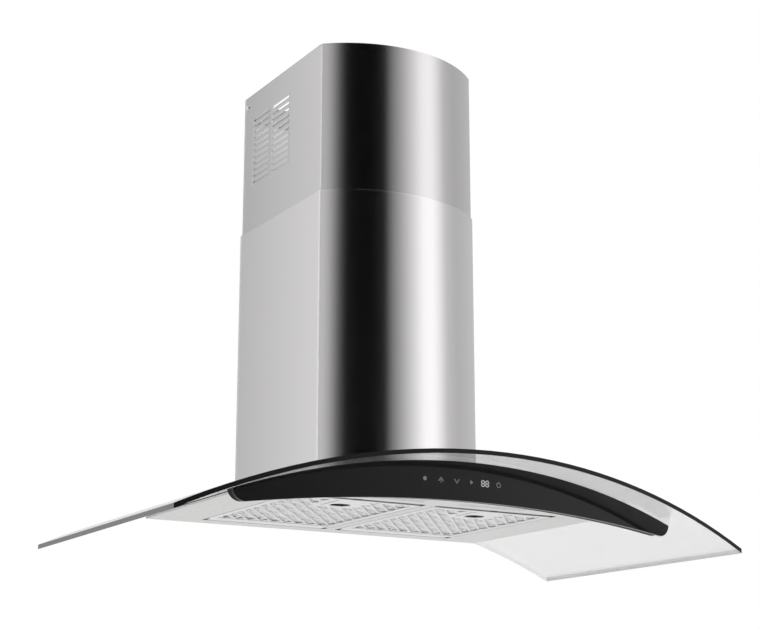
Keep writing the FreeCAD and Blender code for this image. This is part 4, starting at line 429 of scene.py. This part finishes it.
def arc(x, radius, first, last, steps):
    """Points round a centre at X, clockwise from the top between two angles in degrees."""
    angles = [math.radians(first + (last - first) * i / steps) for i in range(steps + 1)]
    return [(x + radius * math.sin(angle), radius * math.cos(angle)) for angle in angles]


def stroke(start, stop, width=stroke_width):
    """Outline of a straight stroke with square ends, half its width beyond both points."""
    along = (Vector(stop) - Vector(start)).normalized() * width / 2
    across = Vector((-along.y, along.x))
    corners = (Vector(start) - along + across, Vector(stop) + along + across,
               Vector(stop) + along - across, Vector(start) - along - across)
    return [(corner.x, corner.y) for corner in corners]


def chevron(x, tip, foot, half=0.0035):
    """The two strokes of a chevron at X, with the rise of its tip and of its feet."""
    return [stroke((x - half, foot), (x, tip)), stroke((x, tip), (x + half, foot))]


lamp_place = -0.080
lamp_radius = 0.0028
dot_corners = 24
flat_mark("lamp_mark", [arc(lamp_place, lamp_radius, 0, 360 - 360 / dot_corners,
                            dot_corners - 1)], ink)

faster_place = -0.055
stem = stroke((faster_place, -0.0035), (faster_place, 0.001))
flat_mark("faster_mark", [*chevron(faster_place, 0.0032, -0.0015), stem], ink)

slower_place = -0.030
flat_mark("slower_mark", chevron(slower_place, -0.0026, 0.0022), ink)

timer_left = -0.0085
timer_right = -0.0035
timer_half = 0.003
flat_mark("timer_mark", [[(timer_left, timer_half), (timer_right, 0), (timer_left, -timer_half)]],
          ink)

figure_lefts = (0.0098, 0.0166)
figure_width = 0.0048
figure_half = 0.0038
figure_stroke = 0.0012
figures = []
for left in figure_lefts:
    right = left + figure_width
    for rise in (-figure_half, 0, figure_half):
        figures.append(stroke((left + figure_stroke, rise), (right - figure_stroke, rise),
                              figure_stroke))
    for x in (left, right):
        for foot in (-figure_half, 0):
            top = foot + figure_half
            figures.append(stroke((x, foot + figure_stroke), (x, top - figure_stroke),
                                  figure_stroke))
flat_mark("display_figures", figures, glow)

power_place = 0.038
ring_inner = 0.0027
ring_outer = 0.0037
ring_gap = 25
ring_steps = 24
ring = (arc(power_place, ring_outer, ring_gap, 360 - ring_gap, ring_steps)
        + arc(power_place, ring_inner, 360 - ring_gap, ring_gap, ring_steps))
tick = stroke((power_place, 0.0016), (power_place, 0.0042), ring_outer - ring_inner)
flat_mark("power_mark", [ring, tick], ink)

# Lamps: extruded aluminium bars with a frosted polycarbonate lens, which looks dull white. Over
# it lies a strip with one white lamp to 10.5 mm.
frost_grain = 0.33
lens = blank("frosted_polycarbonate")
tree = lens.node_tree
place = node(tree, "ShaderNodeTexCoord").outputs["Object"]
frost = node(tree, "ShaderNodeTexNoise", {"Vector": place, "Scale": per_metre(frost_grain)})
bump = node(tree, "ShaderNodeBump", {"Height": frost.outputs["Fac"], "Strength": 0.2,
                                     "Distance": 0.0001})
shader = node(tree, "ShaderNodeBsdfPrincipled", {"Base Color": colour("#cfcfcd"),
                                                 "Roughness": 0.55,
                                                 "Transmission Weight": 0.3, "IOR": 1.58,
                                                 "Normal": bump.outputs["Normal"]})
node(tree, "ShaderNodeOutputMaterial", {"Surface": shader.outputs[0]})
paint(lens, "left_lamp_lens", "right_lamp_lens")

# A wave pattern of scale 1 repeats after pi / 10 metres.
chip_pitch = 10.5
plain_wave = math.pi / 10
strip = blank("lamp_strip")
tree = strip.node_tree
place = node(tree, "ShaderNodeTexCoord").outputs["Object"]
chips = node(tree, "ShaderNodeTexWave", {"Vector": place,
                                         "Scale": per_metre(chip_pitch) * plain_wave},
             bands_direction="X")
grey = node(tree, "ShaderNodeMix", {"Factor": chips.outputs["Fac"], "A": colour("#eeeeea"),
                                    "B": colour("#e2d06a")}, data_type="RGBA")
shader = node(tree, "ShaderNodeBsdfPrincipled", {"Base Color": grey.outputs["Result"],
                                                 "Roughness": 0.4})
node(tree, "ShaderNodeOutputMaterial", {"Surface": shader.outputs[0]})
paint(strip, "left_led_strip", "right_led_strip")

# Grease filters: frames folded from satin aluminium sheet round an expanded aluminium net and
# a folded inner sheet. The lamp bars are of the same satin aluminium. Its mill grain is finer,
# and is drawn 1.4 mm coarse so that it shows.
mill_grain = 1.4
aluminium = blank("satin_aluminium")
tree = aluminium.node_tree
place = node(tree, "ShaderNodeTexCoord").outputs["Object"]
mill = node(tree, "ShaderNodeTexNoise", {"Vector": place, "Scale": per_metre(mill_grain),
                                         "Detail": 3.0})
rough = node(tree, "ShaderNodeMapRange", {"Value": mill.outputs["Fac"],
                                          "To Min": 0.34, "To Max": 0.46})
grey = node(tree, "ShaderNodeMix", {"Factor": mill.outputs["Fac"], "A": colour("#d6d6d7"),
                                    "B": colour("#e4e4e5")}, data_type="RGBA")
shader = node(tree, "ShaderNodeBsdfPrincipled", {"Base Color": grey.outputs["Result"],
                                                 "Metallic": 1.0, "Roughness": rough.outputs[0]})
node(tree, "ShaderNodeOutputMaterial", {"Surface": shader.outputs[0]})
paint(aluminium, "left_filter_frame", "right_filter_frame", "left_filter_mesh",
      "right_filter_mesh", "left_lamp_bar", "right_lamp_bar")

# Cores of the filters: a knitted pad of aluminium foil behind the outer net, made here as one
# folded sheet. The foil is pale and dull, with creases about 2 mm apart.
crease_size = 2
foil = blank("dull_aluminium_foil")
tree = foil.node_tree
place = node(tree, "ShaderNodeTexCoord").outputs["Object"]
creases = node(tree, "ShaderNodeTexNoise", {"Vector": place, "Scale": per_metre(crease_size),
                                            "Detail": 2.0})
grey = node(tree, "ShaderNodeMix", {"Factor": creases.outputs["Fac"], "A": colour("#e9e9ea"),
                                    "B": colour("#f7f7f8")}, data_type="RGBA")
bump = node(tree, "ShaderNodeBump", {"Height": creases.outputs["Fac"], "Strength": 0.2,
                                     "Distance": 0.0003})
shader = node(tree, "ShaderNodeBsdfPrincipled", {"Base Color": grey.outputs["Result"],
                                                 "Metallic": 1.0, "Roughness": 0.62,
                                                 "Normal": bump.outputs["Normal"]})
node(tree, "ShaderNodeOutputMaterial", {"Surface": shader.outputs[0]})
paint(foil, "left_filter_core", "right_filter_core")

# Studio: a white world for the camera and for what shows through glass. Metal reflects a round
# studio of pale walls, with a dark bay in front and a bright one on either side. Each stop is a
# bearing in degrees from straight in front, positive to the right, and the brightness there.
brightest = 1.5
wall_stops = [(-180, 0.55), (-158, 0.58), (-149, 0.85), (-135, 1.1), (-110, 1.45), (-70, 1.45),
              (-56, 0.8), (-46, 0.52), (-38, 0.12), (-32, 0.0), (-20, 0.0), (-8, 0.0),
              (3, 0.01), (9, 0.24), (18, 0.52), (30, 0.95), (40, 1.35), (50, 1.4), (58, 1.1),
              (66, 0.72), (80, 0.6), (104, 0.66), (130, 0.7), (160, 0.6)]
world = bpy.data.worlds.new("studio")
bpy.context.scene.world = world
world.use_nodes = True
tree = world.node_tree
tree.nodes.clear()
direction = node(tree, "ShaderNodeSeparateXYZ",
                 {"Vector": node(tree, "ShaderNodeTexCoord").outputs["Generated"]})
toward = node(tree, "ShaderNodeMath", {0: direction.outputs["Y"], 1: -1.0}, operation="MULTIPLY")
bearing = node(tree, "ShaderNodeMath", {0: direction.outputs["X"], 1: toward.outputs[0]},
               operation="ARCTAN2")
turn = node(tree, "ShaderNodeMapRange", {"Value": bearing.outputs[0], "From Min": -math.pi,
                                         "From Max": math.pi})
walls = node(tree, "ShaderNodeValToRGB", {"Fac": turn.outputs[0]})
ramp = walls.color_ramp
while len(ramp.elements) < len(wall_stops):
    ramp.elements.new(0.5)
for element, (degrees, brightness) in zip(ramp.elements, wall_stops):
    share = brightness / brightest
    element.position = (degrees + 180) / 360
    element.color = (share, share, share, 1)
height = node(tree, "ShaderNodeMapRange", {"Value": direction.outputs["Z"], "From Min": 0.62,
                                           "From Max": 0.85}, interpolation_type="SMOOTHSTEP")
sky = node(tree, "ShaderNodeMix", {"Factor": height.outputs[0], "A": walls.outputs["Color"],
                                   "B": (0.8, 0.8, 0.8, 1)}, data_type="RGBA")
studio = node(tree, "ShaderNodeBackground", {"Color": sky.outputs["Result"],
                                             "Strength": brightest})
white = node(tree, "ShaderNodeBackground", {"Color": (1, 1, 1, 1), "Strength": 1.0})
path = node(tree, "ShaderNodeLightPath")
seen = node(tree, "ShaderNodeMath", {0: path.outputs["Is Camera Ray"],
                                     1: path.outputs["Is Transmission Ray"]}, operation="MAXIMUM")
both = node(tree, "ShaderNodeMixShader", {0: seen.outputs[0], 1: studio.outputs[0],
                                          2: white.outputs[0]})
node(tree, "ShaderNodeOutputWorld", {"Surface": both.outputs[0]})

# Floor: a plain pale sheet of paper below the camera. Far off it runs out into the white
# background, and from below it isn't there, so that the tray can be looked at.
floor_size = 24
floor_height = -0.95
paper_tooth = 25
fade_start = 1.2
fade_end = 5.0
floor_paper = blank("floor_paper")
tree = floor_paper.node_tree
place = node(tree, "ShaderNodeTexCoord").outputs["Object"]
tooth = node(tree, "ShaderNodeTexNoise", {"Vector": place, "Scale": per_metre(paper_tooth)})
grey = node(tree, "ShaderNodeMix", {"Factor": tooth.outputs["Fac"], "A": colour("#f6f6f6"),
                                    "B": colour("#fafafa")}, data_type="RGBA")
paper = node(tree, "ShaderNodeBsdfPrincipled", {"Base Color": grey.outputs["Result"],
                                                "Roughness": 0.8})
reach = node(tree, "ShaderNodeVectorMath", {0: place}, operation="LENGTH")
far = node(tree, "ShaderNodeMapRange", {"Value": reach.outputs["Value"], "From Min": fade_start,
                                        "From Max": fade_end}, interpolation_type="SMOOTHSTEP")
seen = node(tree, "ShaderNodeLightPath").outputs["Is Camera Ray"]
faded = node(tree, "ShaderNodeMath", {0: far.outputs[0], 1: seen}, operation="MULTIPLY")
haze = node(tree, "ShaderNodeEmission", {"Color": (1, 1, 1, 1), "Strength": 1.0})
above = node(tree, "ShaderNodeMixShader", {0: faded.outputs[0], 1: paper.outputs[0],
                                           2: haze.outputs[0]})
below = node(tree, "ShaderNodeBsdfTransparent")
under = node(tree, "ShaderNodeNewGeometry").outputs["Backfacing"]
sheet = node(tree, "ShaderNodeMixShader", {0: under, 1: above.outputs[0], 2: below.outputs[0]})
node(tree, "ShaderNodeOutputMaterial", {"Surface": sheet.outputs[0]})
bpy.ops.mesh.primitive_plane_add(size=floor_size, location=(0, 0, floor_height))
floor = bpy.context.object
floor.name = "floor"
floor.data.materials.append(floor_paper)

# Wall: the strip of painted kitchen wall inside the chimney. It glows, and ambient occlusion dims
# the glow into a painted shade: pale grey through the vents, where the covers enclose it, and
# white where nothing stands before it.
wall_width = 0.262
wall_tall = 0.36
wall_place = (0, 0.002, 0.345)
shade_reach = 0.4
wall_paint = blank("wall_paint")
tree = wall_paint.node_tree
# Painted shade: ambient occlusion dims the wall's glow where the covers enclose it.
shade = node(tree, "ShaderNodeAmbientOcclusion", {"Distance": shade_reach}, samples=12)
painted_shade_tone = node(tree, "ShaderNodeMapRange", {"Value": shade.outputs["AO"], "From Min": 0.1,
                                         "From Max": 0.75, "To Min": 0.18, "To Max": 1.0})
painted_shade_glow = node(tree, "ShaderNodeEmission", {"Color": (1, 1, 1, 1), "Strength": painted_shade_tone.outputs[0]})
behind = node(tree, "ShaderNodeBsdfTransparent")
under = node(tree, "ShaderNodeNewGeometry").outputs["Backfacing"]
strip_face = node(tree, "ShaderNodeMixShader", {0: under, 1: painted_shade_glow.outputs[0],
                                                2: behind.outputs[0]})
node(tree, "ShaderNodeOutputMaterial", {"Surface": strip_face.outputs[0]})
bpy.ops.mesh.primitive_plane_add(size=1, location=wall_place, rotation=(math.pi / 2, 0, 0))
wall = bpy.context.object
wall.name = "wall"
wall.scale = (wall_width, wall_tall, 1)
wall.data.materials.append(wall_paint)
wall.visible_diffuse = False
wall.visible_glossy = False
wall.visible_shadow = False

# Card: a lit studio card to the left and behind, which the chimney's left side reflects. Its
# near end is the brighter one. The camera doesn't see it.
card_tall = 2.6
card_long = 2.4
card_place = (-1.14, 2.0, 0.8)
card_bright_at = 1.35
card_dim_at = 2.35
card_face = blank("studio_card")
tree = card_face.node_tree
place = node(tree, "ShaderNodeSeparateXYZ",
             {"Vector": node(tree, "ShaderNodeNewGeometry").outputs["Position"]})
fade = node(tree, "ShaderNodeMapRange", {"Value": place.outputs["Y"], "From Min": card_bright_at,
                                         "From Max": card_dim_at, "To Min": 1.0, "To Max": 0.5})
shine = node(tree, "ShaderNodeEmission", {"Strength": fade.outputs[0]})
node(tree, "ShaderNodeOutputMaterial", {"Surface": shine.outputs[0]})
bpy.ops.mesh.primitive_plane_add(size=1, location=card_place, rotation=(0, math.pi / 2, 0))
card = bpy.context.object
card.name = "side_card"
card.scale = (card_tall, card_long, 1)
card.data.materials.append(card_face)
card.visible_camera = False
card.visible_transmission = False
card.visible_shadow = False

# Overhead light: a soft round lamp, large and far enough to leave only a faint shadow. It
# points at the hood's middle and shows in no reflection.
overhead_place = (-0.6, -1.2, 2.6)
overhead_aim = (0, -0.2, 0)
overhead = bpy.data.lights.new("overhead", "AREA")
overhead.shape = "DISK"
overhead.size = 3.0
overhead.energy = 36
overhead_lamp = bpy.data.objects.new("overhead", overhead)
overhead_lamp.location = overhead_place
backward = Vector(overhead_place) - Vector(overhead_aim)
overhead_lamp.rotation_euler = backward.to_track_quat("Z", "Y").to_euler()
overhead_lamp.visible_glossy = False
bpy.context.scene.collection.objects.link(overhead_lamp)

# Camera: below the hood and to its left, as in the photograph. Its lens, place and angles in
# radians were fitted to corners and edges of the hood.
camera_place = (-1.22906, -2.27692, -0.50682)
camera_upward = 0.2608
camera_turn = -0.5367
camera = bpy.data.objects.new("camera", bpy.data.cameras.new("camera"))
camera.data.lens = 77.42
camera.data.sensor_width = 36
camera.data.clip_start = 0.05
camera.data.clip_end = 60
camera.location = camera_place
camera.rotation_euler = (math.pi / 2 + camera_upward, 0, camera_turn)
bpy.context.scene.collection.objects.link(camera)
bpy.context.scene.camera = camera

bpy.context.scene.view_settings.view_transform = "Standard"
